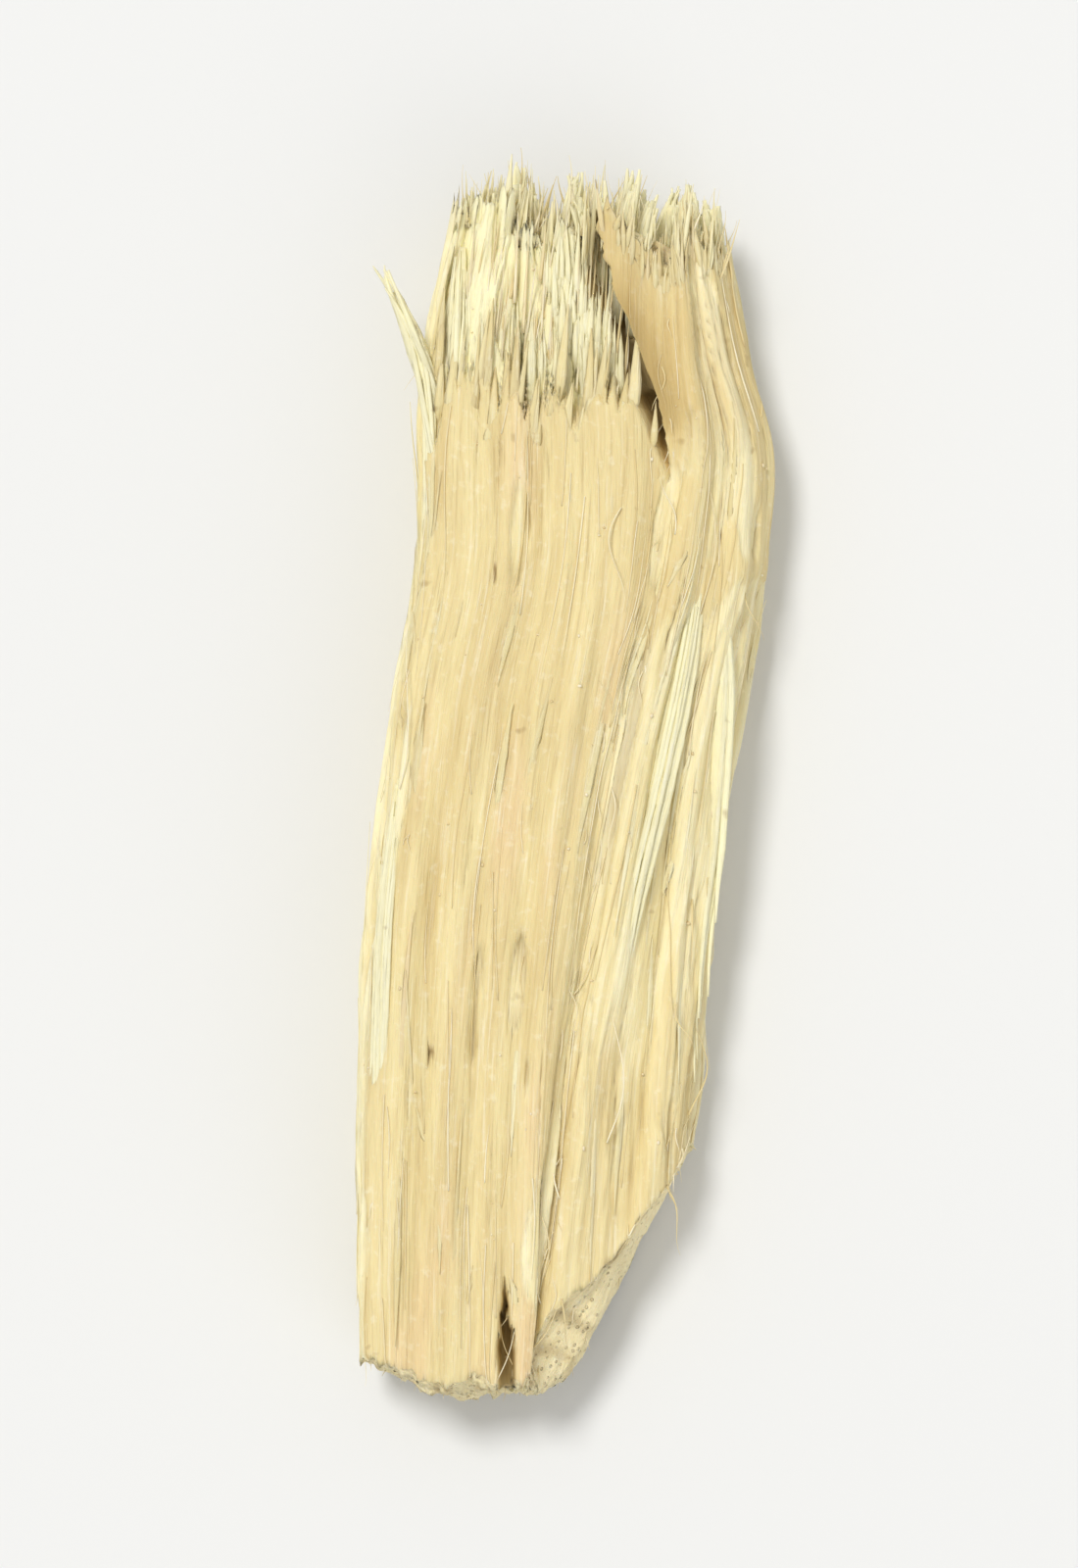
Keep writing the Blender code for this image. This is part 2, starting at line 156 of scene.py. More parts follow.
def sectionAt(around):
    return np.interp(around, outline[0], outline[1]), np.interp(around, outline[0], outline[2])


def columnPlaces():
    # where the columns of points are round the section, closer together on the upper side
    run, _, up = outline
    weight = np.where(up[:-1] > 0.5, slab["upperShare"], 1.0) * np.diff(run)
    return np.interp(np.linspace(0, 1, slab["around"], endpoint=False), running(weight) / weight.sum(), run)


def place(u, w, y):
    drift = slab["furrowDrift"] * (y - 0.8) * bell(u - 0.4, 0.22) * unit((w - 0.6) / 0.2)
    left = smoothThrough(slab["leftSide"], y)
    right = smoothThrough(slab["rightSide"], y)
    x = left + (u + drift + 1) / 2 * (right - left)
    top = slab["thickness"] - slab["crownDrop"] * ((y - 0.6) / 6.4) ** 2
    base = slab["endRise"] * np.abs(y / 7.0) ** 3.2 - slab["flatSink"]
    return x, base + w * (top - base) + slab["twist"] * u * w * y / 7.0


noiseRows, noiseShift = 97, 40        # the table's rows, and what keeps every y on them


def streaks(around, y, count, length, seed):
    # drawn-out noise from 0 to 1, closed round the section: count cells round it, each this long
    table = seeded(seed).random((count, noiseRows))
    p = around * count
    q = y / length + noiseShift
    i, j = np.floor(p).astype(int), np.floor(q).astype(int)
    a, b = p - i, q - j
    a, b = a * a * (3 - 2 * a), b * b * (3 - 2 * b)
    n = [[table[(i + k) % count, (j + m) % noiseRows] for m in (0, 1)] for k in (0, 1)]
    return (n[0][0] * (1 - b) + n[0][1] * b) * (1 - a) + (n[1][0] * (1 - b) + n[1][1] * b) * a


def twoStreaks(flow, y, count, length, seed):
    coarse = streaks(flow, y, count, length, seed)
    return 0.64 * coarse + 0.36 * streaks(flow, y, int(count * 2.7), length * 0.42, seed + 1)


def ripples(around, y, waves):
    # streaks of several sizes, each given as height, count, length and seed, added round zero
    return sum(size * (streaks(around, y, *wave) - 0.5) for size, *wave in waves)


def cells(x, z, count, seed):
    # patchwork of fibre bundles across an end: a value for each bundle and how near its border is
    rng = seeded(seed)
    spots = np.stack([rng.uniform(-2.2, 2.3, count), rng.uniform(-0.1, 2.2, count)])
    far = np.hypot(x[:, None] - spots[0], z[:, None] - spots[1])
    near = np.partition(far, 1, axis=1)
    return rng.random(count)[far.argmin(axis=1)], near[:, 1] - near[:, 0]


def cutEnd(u, w):
    slant = np.logaddexp(0, (u - ends["slantFrom"]) * 14) / 14 * ends["slantRise"]
    corner = 0.22 * unit((-0.35 - u) / 0.6) ** 2
    step = 0.05 * np.sin(9 * u + 4 * w) + 0.04 * np.sin(17 * u - 6 * w)
    tip = ends["cutTip"] * w * (0.25 + 0.75 * unit(u + 0.2))
    value, border = cells(u * 2.0, w * 2.0, ends["cutCells"], 5)
    return (ends["cutY"] + slant + corner + tip + step + ripples(u * 0.5 + 0.5, w, ends["rays"])
            + ends["cutJag"] * (value - 0.5) + 0.03 * np.exp(-border / 0.02))


def bareLowered(u, w):
    return np.where(u < ends["bareU"], np.minimum(w, ends["bareW"]), w)


def tornEnd(u, w):
    w = bareLowered(u, w)
    teeth = np.sin(8.5 * u + 2 * w) * 0.5 + np.sin(15 * u + 5 * w + 1) * 0.3 + np.sin(6 * w + 3 * u) * 0.3
    value, border = cells(u * 2.0, w * 2.0, ends["tornCells"], 6)
    jag = ends["tornJag"] * (value - 0.5) * 2 - 0.03 * np.exp(-border / 0.025)
    return ends["tornY"] + ends["tornDepth"] * 0.5 * teeth - ends["tornCorner"] * unit(u) ** 2 + jag


def slipCells(borders, where):
    # which slip each place falls in, and how near its middle from 0 to 1
    cell = np.clip(np.searchsorted(borders, where) - 1, 0, len(borders) - 2)
    t = unit((where - borders[cell]) / np.maximum(borders[cell + 1] - borders[cell], 1e-6))
    return cell, 1 - np.abs(2 * t - 1)


def endSlips(around, count, reach, seed):
    # pointed slips of skin that stand past the rim of an end
    rng = seeded(seed)
    cell, near = slipCells(np.concatenate([[0.0], np.sort(rng.random(count - 1)), [1.0]]), around)
    return reach * rng.random(count)[cell] ** 2.4 * near ** 0.7


def layOut():
    # for every point: place round, u, w, y, strength of relief, 1 on an end, share of the girth
    places = columnPlaces()
    u, w = sectionAt(places)
    hu, hw = slab["heart"]
    start = cutEnd(u, w) - endSlips(places, ends["slips"], ends["cutSlip"], 8)
    smooth = ends["tornY"] - ends["tornCorner"] * unit(u) ** 2
    last = followCrack(places, smooth)
    ragged = tornEnd(*sectionAt(last)) + endSlips(last, ends["slips"], ends["tornSlip"], 9) - smooth
    ragged = ragged + endSlips(last, ends["teeth"], ends["tornTooth"], 10)
    rows = []

    def addRow(*values):
        rows.append([np.broadcast_to(value, places.shape) for value in values])

    def addCap(sizes, around, u, w, shape, sign):
        for size in sizes:
            nu, nw = hu + (u - hu) * size, hw + (w - hw) * size
            addRow(around, nu, nw, shape(nu, nw) + sign * ends["rim"] * size ** 6, 0.4 * size ** 4, 1.0, size)

    sizes = [(step / slab["capRings"]) ** 0.8 for step in range(1, slab["capRings"])]
    addCap(sizes, places, u, w, cutEnd, 1)
    along = evenly(slab["rows"])
    spacing = running(np.where(along > 0.66, 1 / slab["tearShare"], 1.0)[1:])
    for part in spacing / spacing[-1]:
        y = start + ends["rim"] + part * (smooth - start - 2 * ends["rim"])
        around = followCrack(places, y)
        y = y + ragged * ease(0.93, 1.0, part)
        addRow(around, *sectionAt(around), y, min(1.0, 0.4 + 9 * min(part, 1 - part)), 0.0, 1.0)
    u, w = sectionAt(last)
    addCap(sizes[::-1], last, u, bareLowered(u, w), tornEnd, -1)
    return np.array(rows).transpose(1, 0, 2)


# Layers, bundles and single fibres along the grain: streaks as height, count, length and seed,
# layers as count, length, height, level, weight in the tone and seed
grain = {
    "waves": [(11, 0.045), (19, 0.028), (29, 0.014)],
    "grooves": [               # place round the section, from y, to y, depth
        (0.13, -5.8, 2.6, 0.06), (0.21, -1.5, 4.2, 0.05), (0.345, -4.6, 0.9, 0.13), (0.47, -3.0, 6.2, 0.1),
        (0.6, -6.8, 1.2, 0.22), (0.69, -1.8, 6.6, 0.2), (0.78, -6.4, 4.8, 0.22), (0.93, -4.6, 3.4, 0.14),
    ],
    "grooveHalfWidth": 0.022,
    "layers": [(20, 5.5, 0.052, 0.5, 0.5, 24), (31, 3.6, 0.036, 0.55, 0.5, 31),
               (57, 2.3, 0.022, 0.47, 0.35, 38), (83, 1.5, 0.014, 0.54, 0.25, 45)],
    "layerEdge": 0.022,
    "wander": [(0.012, 9, 3.4, 31), (0.003, 26, 1.5, 32)],
    "skinBorder": [(0.06, 60, 1.6, 21), (0.05, 140, 0.8, 22)],
    "fibres": [(0.022, 105, 2.4, 35), (0.014, 210, 1.3, 36)],
    "finest": [(0.008, 34, 0.3, 37), (0.005, 190, 0.12, 38)],
    "checks": 44,
    "peelShare": 0.6,
    "scars": [                 # x, y, half sizes
        (-1.23, -3.1, 0.055, 0.1), (0.26, -4.55, 0.03, 0.06), (-0.95, 2.6, 0.03, 0.07),
    ],
}


def grooveDepth(around, y):
    depth = np.zeros_like(y)
    for where, start, stop, deep in grain["grooves"]:
        off = (around - where + 0.5) % 1.0 - 0.5 + 0.006 * np.sin(0.9 * y + 20 * where)
        fade = unit((y - start) / 1.2) * unit((stop - y) / 1.2)
        depth += deep * fade * unit(1 - np.abs(off) / grain["grooveHalfWidth"]) ** 1.3
    return depth


def skinShare(u, w, around, y):
    # 1 on the smooth outer face, 0 on the split wood, with a ragged border between; by the torn
    # end the outer face wraps on over the bulge
    edge = ripples(around, y, grain["skinBorder"])
    over = ease(1.7, 3.3, y + 9 * edge)
    low = 0.82 - 0.58 * over * ease(0.1, 0.4, u)
    wide = 0.25 + 0.85 * over
    return ease(low, low + 0.06, w + edge) * (1 - ease(wide, wide + 0.05, u + edge + 0.02 * np.sin(y)))


def fineRelief(u, w, around, y):
    height = -grooveDepth(around, y)
    for number, (waves, size) in enumerate(grain["waves"]):
        wander = 0.7 * np.sin(0.55 * y + number * 2.1) + 0.4 * np.sin(1.3 * y + number)
        height += size * np.sin(2 * math.pi * waves * around + wander + number * 1.7)
    flow = (around + ripples(around, y, grain["wander"])) % 1.0
    skin = skinShare(u, w, around, y)
    near = bell(u + 0.95, 0.1) + bell(u - 0.3, 0.08)      # the skin peels most by its two borders
    peel = twoStreaks(flow, y, 17, 2.6, 23) + 0.07 * near
    peel = ease(grain["peelShare"], grain["peelShare"] + 0.02, peel) * skin
    skin = skin * (1 - peel)
    rough = 1.0 - 0.72 * skin + 0.45 * skin * ease(4.4, 6.4, y)
    tone = np.zeros_like(y)
    for count, length, step, level, weight, seed in grain["layers"]:
        edge = grain["layerEdge"]
        plate = ease(level - edge, level + edge, twoStreaks(flow, y, count, length, seed)) - 0.5
        height += rough * step * plate
        tone += plate * weight
    bundle = 1 - np.abs(2 * streaks(flow, y, 34, 5.0, 33) - 1)
    strand = 1 - np.abs(2 * streaks(flow, y, 86, 3.2, 34) - 1)
    present = ease(0.35, 0.65, streaks(flow, y, 12, 3.0, 39))
    height -= rough * (0.055 * bundle ** 7 * present + 0.02 * strand ** 5)
    height += rough * ripples(flow, y, grain["fibres"])
    height += ripples(flow, y, grain["finest"]) + 0.022 * skin - 0.028 * peel
    return height, flow, skin, tone


def dryChecks(flow, y):
    # short dark checks where the root shrank as it dried
    rng = seeded(41)
    depth = np.zeros_like(y)
    for _ in range(grain["checks"]):
        where, middle, length = rng.random(), rng.uniform(-6.6, 6.2), rng.uniform(0.5, 2.0)
        half, deep = rng.uniform(0.0009, 0.002), rng.uniform(0.02, 0.06)
        off = np.abs((flow - where + 0.5 + 0.002 * np.sin(3 * y + 50 * where)) % 1.0 - 0.5)
        along = unit(1 - ((y - middle) / length) ** 2)
        depth += deep * along * unit(1 - off / (half * (0.4 + 0.6 * along)))
    return depth


def scarMarks(x, y, w):
    # little brown scars where hair roots left the outer face
    mark = np.zeros_like(y)
    for at, along, halfWidth, halfLength in grain["scars"]:
        far = np.hypot((x - at) / halfWidth, (y - along) / halfLength)
        far = far * (1 + 0.35 * np.sin(5 * np.arctan2(y - along, x - at) + 9 * at))
        mark = np.maximum(mark, ease(1.25, 0.55, far) * (w > 0.8))
    return mark


# The crack at the torn end, the torn-away strip to its left and the split in the cut end
crack = {
    "line": [(1.0, 3.9), (0.8, 4.42), (0.46, 5.16), (0.2, 5.68), (-0.06, 6.22), (-0.5, 7.4)],
    "width": 0.3, "depth": 0.78, "lean": 0.28, "lift": 0.16, "reach": 0.7,
    # sideShade and sideShadeTone: the width and strength of painted shade on the slope right of the crack
    "sideShade": 0.45, "sideShadeTone": 0.55, "flapTone": 0.26,
    "steps": 15, "stepSize": 0.038,
    "column": 0.4,            # across: the columns that follow the crack start from here
    "straight": 0.016,        # the columns keep their spacing this near to it
}
tear = {
    "edgeY": 4.55, "teeth": 7, "tooth": 0.3, "depth": 0.3, "slope": 0.07, "leftEnd": -2.6,
    "slivers": 74, "sliverReach": 0.62, "leftRise": 0.42, "rightRise": 0.34,
}
split = {"x": 0.0, "lean": -0.13, "topY": -5.6, "width": 0.22, "depth": 0.58, "steps": 14, "stepSize": 0.035,
         "wall": 0.45, "fibres": [(-6.56, 1, 0.36), (-6.42, -1, 0.24), (-6.14, 1, 0.22)]}
crackFoot = crack["line"][0][1]


def crackX(y):
    # the crack's middle, which steps from fibre to fibre
    middle = np.interp(y, [p[1] for p in crack["line"]], [p[0] for p in crack["line"]])
    rng = seeded(45)
    stops = np.sort(rng.uniform(crackFoot, 7.4, crack["steps"]))
    offs = rng.uniform(-1, 1, crack["steps"]) * crack["stepSize"]
    return middle + np.interp(y, stops, offs) * ease(stops[0], stops[0] + 0.8, y)


def crackTable():
    # how far round the section the crack is at each y; below its foot the columns lead up to it
    run, u, w = outline
    top = (run < 0.5) & (w > 0.5)
    ys = np.linspace(-2.0, 8.0, 500)
    at = np.array([np.interp(x, place(u[top], w[top], np.full(top.sum(), y))[0], run[top])
                   for x, y in zip(crackX(ys), ys)])
    home = np.interp(crack["column"], u[top], run[top])
    lead = home + (np.interp(crackFoot, ys, at) - home) * ease(-1.0, crackFoot, ys)
    return ys, np.where(ys < crackFoot, lead, at), home, run[top][-1]


crackPlaces = crackTable()


def followCrack(around, y):
    # slides places round the section sideways so that some columns of points run along the crack
    ys, at, home, edge = crackPlaces
    now, near = np.interp(y, ys, at), crack["straight"]
    left = around / (home - near) * (now - near)
    right = edge - (edge - around) / (edge - home - near) * (edge - now - near)
    moved = np.where(around < home - near, left, np.where(around > home + near, right, around + now - home))
    return np.where(around < edge, moved, around)


def tearEdge(x):
    # the toothed lower border of the torn-away strip, where fibres of the outer layer run out to
    # points, and over what length each thins out
    rng = random.Random(17)
    foot = crack["line"][1]
    xs, ys = [], []
    for i in range(2 * tear["teeth"]):
        at = tear["leftEnd"] + (foot[0] - tear["leftEnd"]) * i / (2 * tear["teeth"])
        swing = (tear["tooth"] if i % 2 else -tear["tooth"]) * min(1.0, (foot[0] - at) / 0.8)
        xs.append(at + rng.uniform(-0.04, 0.04))
        ys.append(tear["edgeY"] + swing * rng.uniform(0.3, 1.0))
    big = np.interp(x, xs + [foot[0]], ys + [foot[1]])
    big = big + tear["leftRise"] * ease(-0.8, -1.9, x) + tear["rightRise"] * ease(-0.2, 0.55, x)
    fine = seeded(43)
    cell, near = slipCells(np.sort(fine.uniform(tear["leftEnd"], 1.05, tear["slivers"])), x)
    reach = tear["sliverReach"] * fine.random(tear["slivers"]) ** 2.2
    thin = 0.16 + 0.6 * fine.random(tear["slivers"]) ** 1.5
    return big - 0.12 + reach[cell] * near ** 0.8 * ease(0.95, 0.45, x), thin[cell]


def bareFloor(x, y):
    return slab["thickness"] - tear["depth"] - tear["slope"] * (y - tear["edgeY"]) - 0.05 * np.abs(x + 0.7)


def shapeTear(x, y, z, around, w):
    # the outer layer is gone left of the crack, and bare fibre bundles show
    edge, thin = tearEdge(x)
    inside = ease(0, 1, (y - edge) / thin + 0.2) * ease(0.03, -0.05, x - crackX(y)) * (w > 0.3)
    bundles = 1 - np.abs(2 * streaks(around, y, 52, 2.6, 51) - 1)
    floor = bareFloor(x, y) - 0.13 * bundles ** 3 + 0.05 * (streaks(around, y, 130, 1.4, 52) - 0.5)
    floor = floor + 0.1 * ease(0.48, 0.52, twoStreaks(around, y, 30, 1.5, 53)) - 0.02
    drop = np.clip(z - floor, 0, None) * inside
    return z - drop, inside * unit(drop / 0.05)


def shapeCrack(x, y, z, w):
    # a leaning slit that opens towards the torn end, with its right lip curled up
    beyond, above = x - crackX(y), y - crackFoot
    rightward, top = np.clip(beyond, 0, None), w > 0.75
    opened = unit(above / 0.9)
    half = np.maximum(crack["width"] / 2 * (0.12 + 0.88 * opened) * (above > -0.05), 1e-4)
    depth = crack["depth"] * (0.15 + 0.85 * opened) * unit(1 - np.abs(beyond) / half) ** 0.8
    depth = depth * top * (above > 0)
    lift = crack["lift"] * unit(above / 1.6) * np.exp(-rightward / crack["reach"])
    lift = lift * ease(-0.02, 0.06, beyond) * unit((w - 0.8) / 0.15)
    # painted shade: the crack darkens with its depth and the slope right of it darkens; the flap turns tan
    sideShade = crack["sideShadeTone"] * bell(rightward, crack["sideShade"]) * top * ease(0, 0.8, above)
    flap = crack["flapTone"] * ease(4.0, 4.9, y) * ease(6.5, 5.5, y) * ease(0.35, 0.55, w)
    brown = np.maximum(unit(depth / 0.35), (sideShade + flap) * (beyond > 0))
    return x + crack["lean"] * depth / crack["depth"], z - depth + lift, brown


def splitX(y):
    # the split's middle and the share of its width there, which step from fibre to fibre
    rng = seeded(46)
    stops = np.sort(rng.uniform(-7.6, split["topY"], split["steps"]))
    offs = rng.uniform(-1, 1, split["steps"]) * split["stepSize"]
    shares = rng.uniform(0.65, 1.15, split["steps"])
    return split["x"] + split["lean"] * (y + 6.55) + np.interp(y, stops, offs), np.interp(y, stops, shares)


def shapeSplit(x, y, z, w):
    middle, share = splitX(y)
    half = np.maximum(split["width"] / 2 * share * unit((split["topY"] - y) / 0.8), 1e-4)
    inside = unit((1 - np.abs(x - middle) / half) / split["wall"])
    depth = split["depth"] * inside * unit((split["topY"] - y) / 0.5) * unit((w - 0.35) / 0.4)
    # painted shade: the split darkens with its depth
    return z - depth, 0.8 * unit((depth - 0.1) / 0.35)


# Painted shade in the furrow beside the pale strand, and the tan that the facet turns by the cut end;
# the pairs are where each fades in or out
shadeAndTan = {
    "furrow": 0.8, "furrowU": 0.33, "furrowHalf": 0.046, "furrowFrom": (-1.2, 0.2), "furrowTo": (3.2, 1.8),
    "aged": 0.9, "agedY": (-1.7, -3.9), "agedU": (0.28, 0.36), "agedW": (0.25, 0.5),
}


# painted shade: a dark brown line along the furrow beside the pale strand
def furrowShade(u, w, flow, y):
    off = u - shadeAndTan["furrowU"] - 0.045 * bell(y - 0.9, 0.8) - 0.03 * (streaks(flow, y, 150, 1.1, 47) - 0.5)
    brown = shadeAndTan["furrow"] * bell(off, shadeAndTan["furrowHalf"])
    reach = ease(*shadeAndTan["furrowFrom"], y) * ease(*shadeAndTan["furrowTo"], y) * (w > 0.6)
    return brown * reach * (0.75 + 0.7 * streaks(flow, y, 90, 1.5, 48))


def agedShare(u, w, flow, y):
    ragged = y + 2.2 * (twoStreaks(flow, y, 40, 2.4, 49) - 0.5)
    where = ease(*shadeAndTan["agedU"], u) * ease(*shadeAndTan["agedW"], w)
    return shadeAndTan["aged"] * ease(*shadeAndTan["agedY"], ragged) * where


def softened(grid, rows, around):
    # the mean over a patch of the grid
    out = sum(np.roll(grid, k, axis=1) for k in range(-around, around + 1)) / (2 * around + 1)
    padded = np.concatenate([out[:1]] * rows + [out] + [out[-1:]] * rows)
    return sum(padded[k:k + len(grid)] for k in range(2 * rows + 1)) / (2 * rows + 1)


def besideEach(grid):
    return np.roll(grid, -1, axis=1) - np.roll(grid, 1, axis=1)


def slabSurface():
    around, u, w, y, strength, end, size = layOut()
    x, z = place(u, w, y)
    across, up = besideEach(x), besideEach(z)
    reach = np.hypot(across, up) + 1e-9
    height, flow, skin, tone = fineRelief(u, w, around, y)
    scar = scarMarks(x, y, w)
    height = height - dryChecks(flow, y) - 0.05 * scar
    # painted shade: points lower than their neighbourhood get a share of darkening
    cavityShade = unit((softened(height, 3, 5) - height) / 0.06) * strength * 0.8
    x = x - up / reach * height * strength
    whole = z + across / reach * height * strength
    z, bare = shapeTear(x, y, whole, around, w)
    x, z, slit = shapeCrack(x, y, z, w)
    z, splitShade = shapeSplit(x, y, z, w)
    side = end < 0.5
    size = slab["girth"] / (2 * math.pi) * size - np.clip(whole - z, 0, None) * (w > 0.3)
    turn = 2 * math.pi * flow
    ray = streaks(u * 0.5 + 0.5, w, 64, 0.9, 56) - 0.5
    ring = bell(w - 0.8 + 0.02 * np.sin(9 * u), 0.022)
    return {
        "points": np.stack([x, y, np.maximum(z, 0.0)], axis=2), "around": around, "side": side,
        "grain": np.stack([size * np.cos(turn), size * np.sin(turn), y], axis=2),
        # hollowShade is painted shade in the hollows and along the furrow
        "hollowShade": np.clip(np.maximum(cavityShade, furrowShade(u, w, flow, y)), 0, 0.8),
        # deep is painted shade in the crack and the split, with the flap's tan
        "deep": unit(np.maximum(slit, splitShade)), "skin": skin * (1 - bare) * side, "bare": bare,
        "aged": agedShare(u, w, flow, y) * side, "scar": scar, "endGrain": end,
        "layer": np.where(side, tone, 1.6 * ray - 0.8 * ring),
    }


def unitVector(vector):
    return vector / (np.linalg.norm(vector, axis=-1, keepdims=True) + 1e-12)


def surfaceNormals(points):
    normals = np.cross(np.gradient(points, axis=0), besideEach(points) / 2)
    flip = np.sign((normals * (points - points.mean(axis=1, keepdims=True)))[:, :, [0, 2]].sum(axis=(1, 2)))
    return unitVector(normals * flip[:, None, None])


surface = slabSurface()
surface["normals"] = surfaceNormals(surface["points"])
sideRows = np.flatnonzero(surface["side"][:, 0])
surface["rowSpan"] = (sideRows[0], sideRows[-1] + 1)
middleRow = (sideRows[0] + sideRows[-1]) // 2
middleX, _, middleZ = surface["points"][middleRow].T
surface["edges"] = [surface["around"][middleRow, np.argmin(np.hypot(middleX - x, middleZ - z))]
                    for x, z in slab["edges"]]
print("slab surface worked out", surface["points"].shape)


def addObject(name, data):
    added = bpy.data.objects.new(name, data)
    bpy.context.scene.collection.objects.link(added)
    return added


def makePiece(name, points, faces, values, material):
    # faces is a list of arrays, one for each number of corners
    mesh = bpy.data.meshes.new(name)
    corners = [face for group in faces for face in group.tolist()]
    mesh.from_pydata(((points + chipShift) * mm).tolist(), [], corners)
    for key, value in values.items():
        kind, slot = ("FLOAT_VECTOR", "vector") if value.ndim == 2 else ("FLOAT", "value")
        mesh.attributes.new(key, kind, "POINT").data.foreach_set(slot, value.astype(np.float32).ravel())
    mesh.validate()
    mesh.shade_smooth()
    mesh.materials.append(material)
    piece = addObject(name, mesh)
    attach(piece, "root")
    print("made", name, "with", sum(len(face) - 2 for face in corners), "triangles")
    return piece


def ringFaces(rows, around):
    # quads between rings whose points run anticlockwise as seen from the first ring's far side
    i = np.arange(around)
    j = (i + 1) % around
    r = np.arange(rows - 1)[:, None] * around
    return np.stack([r + i, r + around + i, r + around + j, r + j], axis=2).reshape(-1, 4)


woodShares = ("hollowShade", "deep", "skin", "bare", "aged", "layer", "scar", "endGrain")


def makeBody(material):
    rows, around = surface["around"].shape
    points = surface["points"].reshape(-1, 3)
    middles = [points[:around].mean(axis=0), points[-around:].mean(axis=0)]
    i = np.arange(around)
    j = (i + 1) % around
    last = (rows - 1) * around
    start = np.stack([np.full(around, last + around), j, i], axis=1)
    stop = np.stack([np.full(around, last + around + 1), last + i, last + j], axis=1)
    values = {"grain": np.concatenate([surface["grain"].reshape(-1, 3), np.zeros((2, 3))])}
    for key in woodShares:
        values[key] = np.append(surface[key], [float(key == "endGrain")] * 2)
    faces = [ringFaces(rows, around)[:, ::-1], start, stop]
    return makePiece("rootBody", np.concatenate([points, middles]), faces, values, material)


def gridPlace(around, y):
    # the row and column, with fractions, of a place round the slab's side surface and along it
    first, last = surface["rowSpan"]
    points, places = surface["points"][first:last], surface["around"][first:last]
    columns = np.arange(places.shape[1])
    c = int(around % 1.0 * len(columns))
    for _ in range(3):
        row = min(np.interp(y, points[:, c, 1], np.arange(len(points))), len(points) - 1.001)
        column = np.interp(around % 1.0, places[int(row)], columns)
        c = int(column)
    return first + row, column


def onSkin(around, y, lift):
    # a point this far above the slab's side surface, and the way out there
    row, column = gridPlace(around, y)
    r, c = int(row), int(column)
    f, g, d = row - r, column - c, (c + 1) % slab["around"]
    p, normal = surface["points"], surface["normals"][r, c]
    return (p[r, c] * (1 - f) + p[r + 1, c] * f) * (1 - g) + (p[r, d] * (1 - f) + p[r + 1, d] * f) * g \
        + normal * lift, normal


def topHeight(x, y):
    _, u, w = outline
    upper = w > 0.5
    across, height = place(u, w, np.full_like(u, y))
    order = np.argsort(across[upper])
    return float(np.interp(x, across[upper][order], height[upper][order]))


def aboveTable(points):
    low, high = slab["heights"]
    return np.clip(points, (-9, -9, low), (9, 9, high))


def crossways(line, guide):
    # the two directions across a line at each point, the second one near the guide
    ahead = unitVector(np.gradient(line, axis=0))
    if guide is None:
        guide = (0.3, 0.1, 1.0) if abs(ahead[:, 2].mean()) < 0.7 else (1.0, 0.1, 0.2)
    side = unitVector(np.cross(ahead, guide))
    return side, np.cross(side, ahead)


def slip(line, wide, flat, thin, over, ridge, bare=0.0, skin=0.0):
    # one tube: its line, half widths, thickness as a share of them and what is added to it, the
    # way its thin side faces, how uneven its section is, and its colour
    return {"line": line, "wide": wide, "thick": wide * flat + thin, "over": over, "ridge": ridge,
            "bare": bare, "skin": skin}


def makeTubes(name, paths, sides, material, wooden=True):
    rng = seeded(71)
    points, quads, caps, marks, grains = [], [], [], [], []
    base = 0
    angle = 2 * math.pi * np.arange(sides) / sides
    for number, path in enumerate(paths):
        line, wide, thick, ridge = path["line"], path["wide"][:, None], path["thick"][:, None], path["ridge"]
        count = len(line)
        side, over = crossways(line, path["over"])
        uneven = 1 + ridge * (rng.random(sides) - 0.5)
        uneven = uneven * (1 + ridge * 0.5 * (rng.random((count, sides)) - 0.5))
        ring = (line[:, None] + side[:, None] * (np.cos(angle) * uneven * wide)[..., None]
                + over[:, None] * (np.sin(angle) * uneven * thick)[..., None])
        run = running(np.linalg.norm(np.diff(line, axis=0), axis=1))
        turn = np.cos(angle) * wide
        grains.append(np.stack([turn + 2.7 * (number % 97), np.sin(angle) * thick + 1.3 * (number % 41),
                                np.broadcast_to(run[:, None], turn.shape)], axis=2).reshape(-1, 3))
        points.append(ring.reshape(-1, 3))
        marks.append((rng.random(), path["bare"], path["skin"]))
        quads.append(ringFaces(count, sides) + base)
        caps.append(np.array([np.arange(sides), np.arange(sides)[::-1] + (count - 1) * sides]) + base)
        base += count * sides
    tone, bare, skin = np.repeat(marks, [len(ring) for ring in points], axis=0).T
    points, values = np.concatenate(points), {"grain": np.concatenate(grains)}
    if wooden:
        points = aboveTable(points)
        values |= dict.fromkeys(woodShares, np.zeros(base))
        values |= {"bare": bare, "skin": skin, "layer": tone * 1.4 - 0.7}
    else:
        values["tone"] = tone
    makePiece(name, points, [np.concatenate(quads), np.concatenate(caps)], values, material)


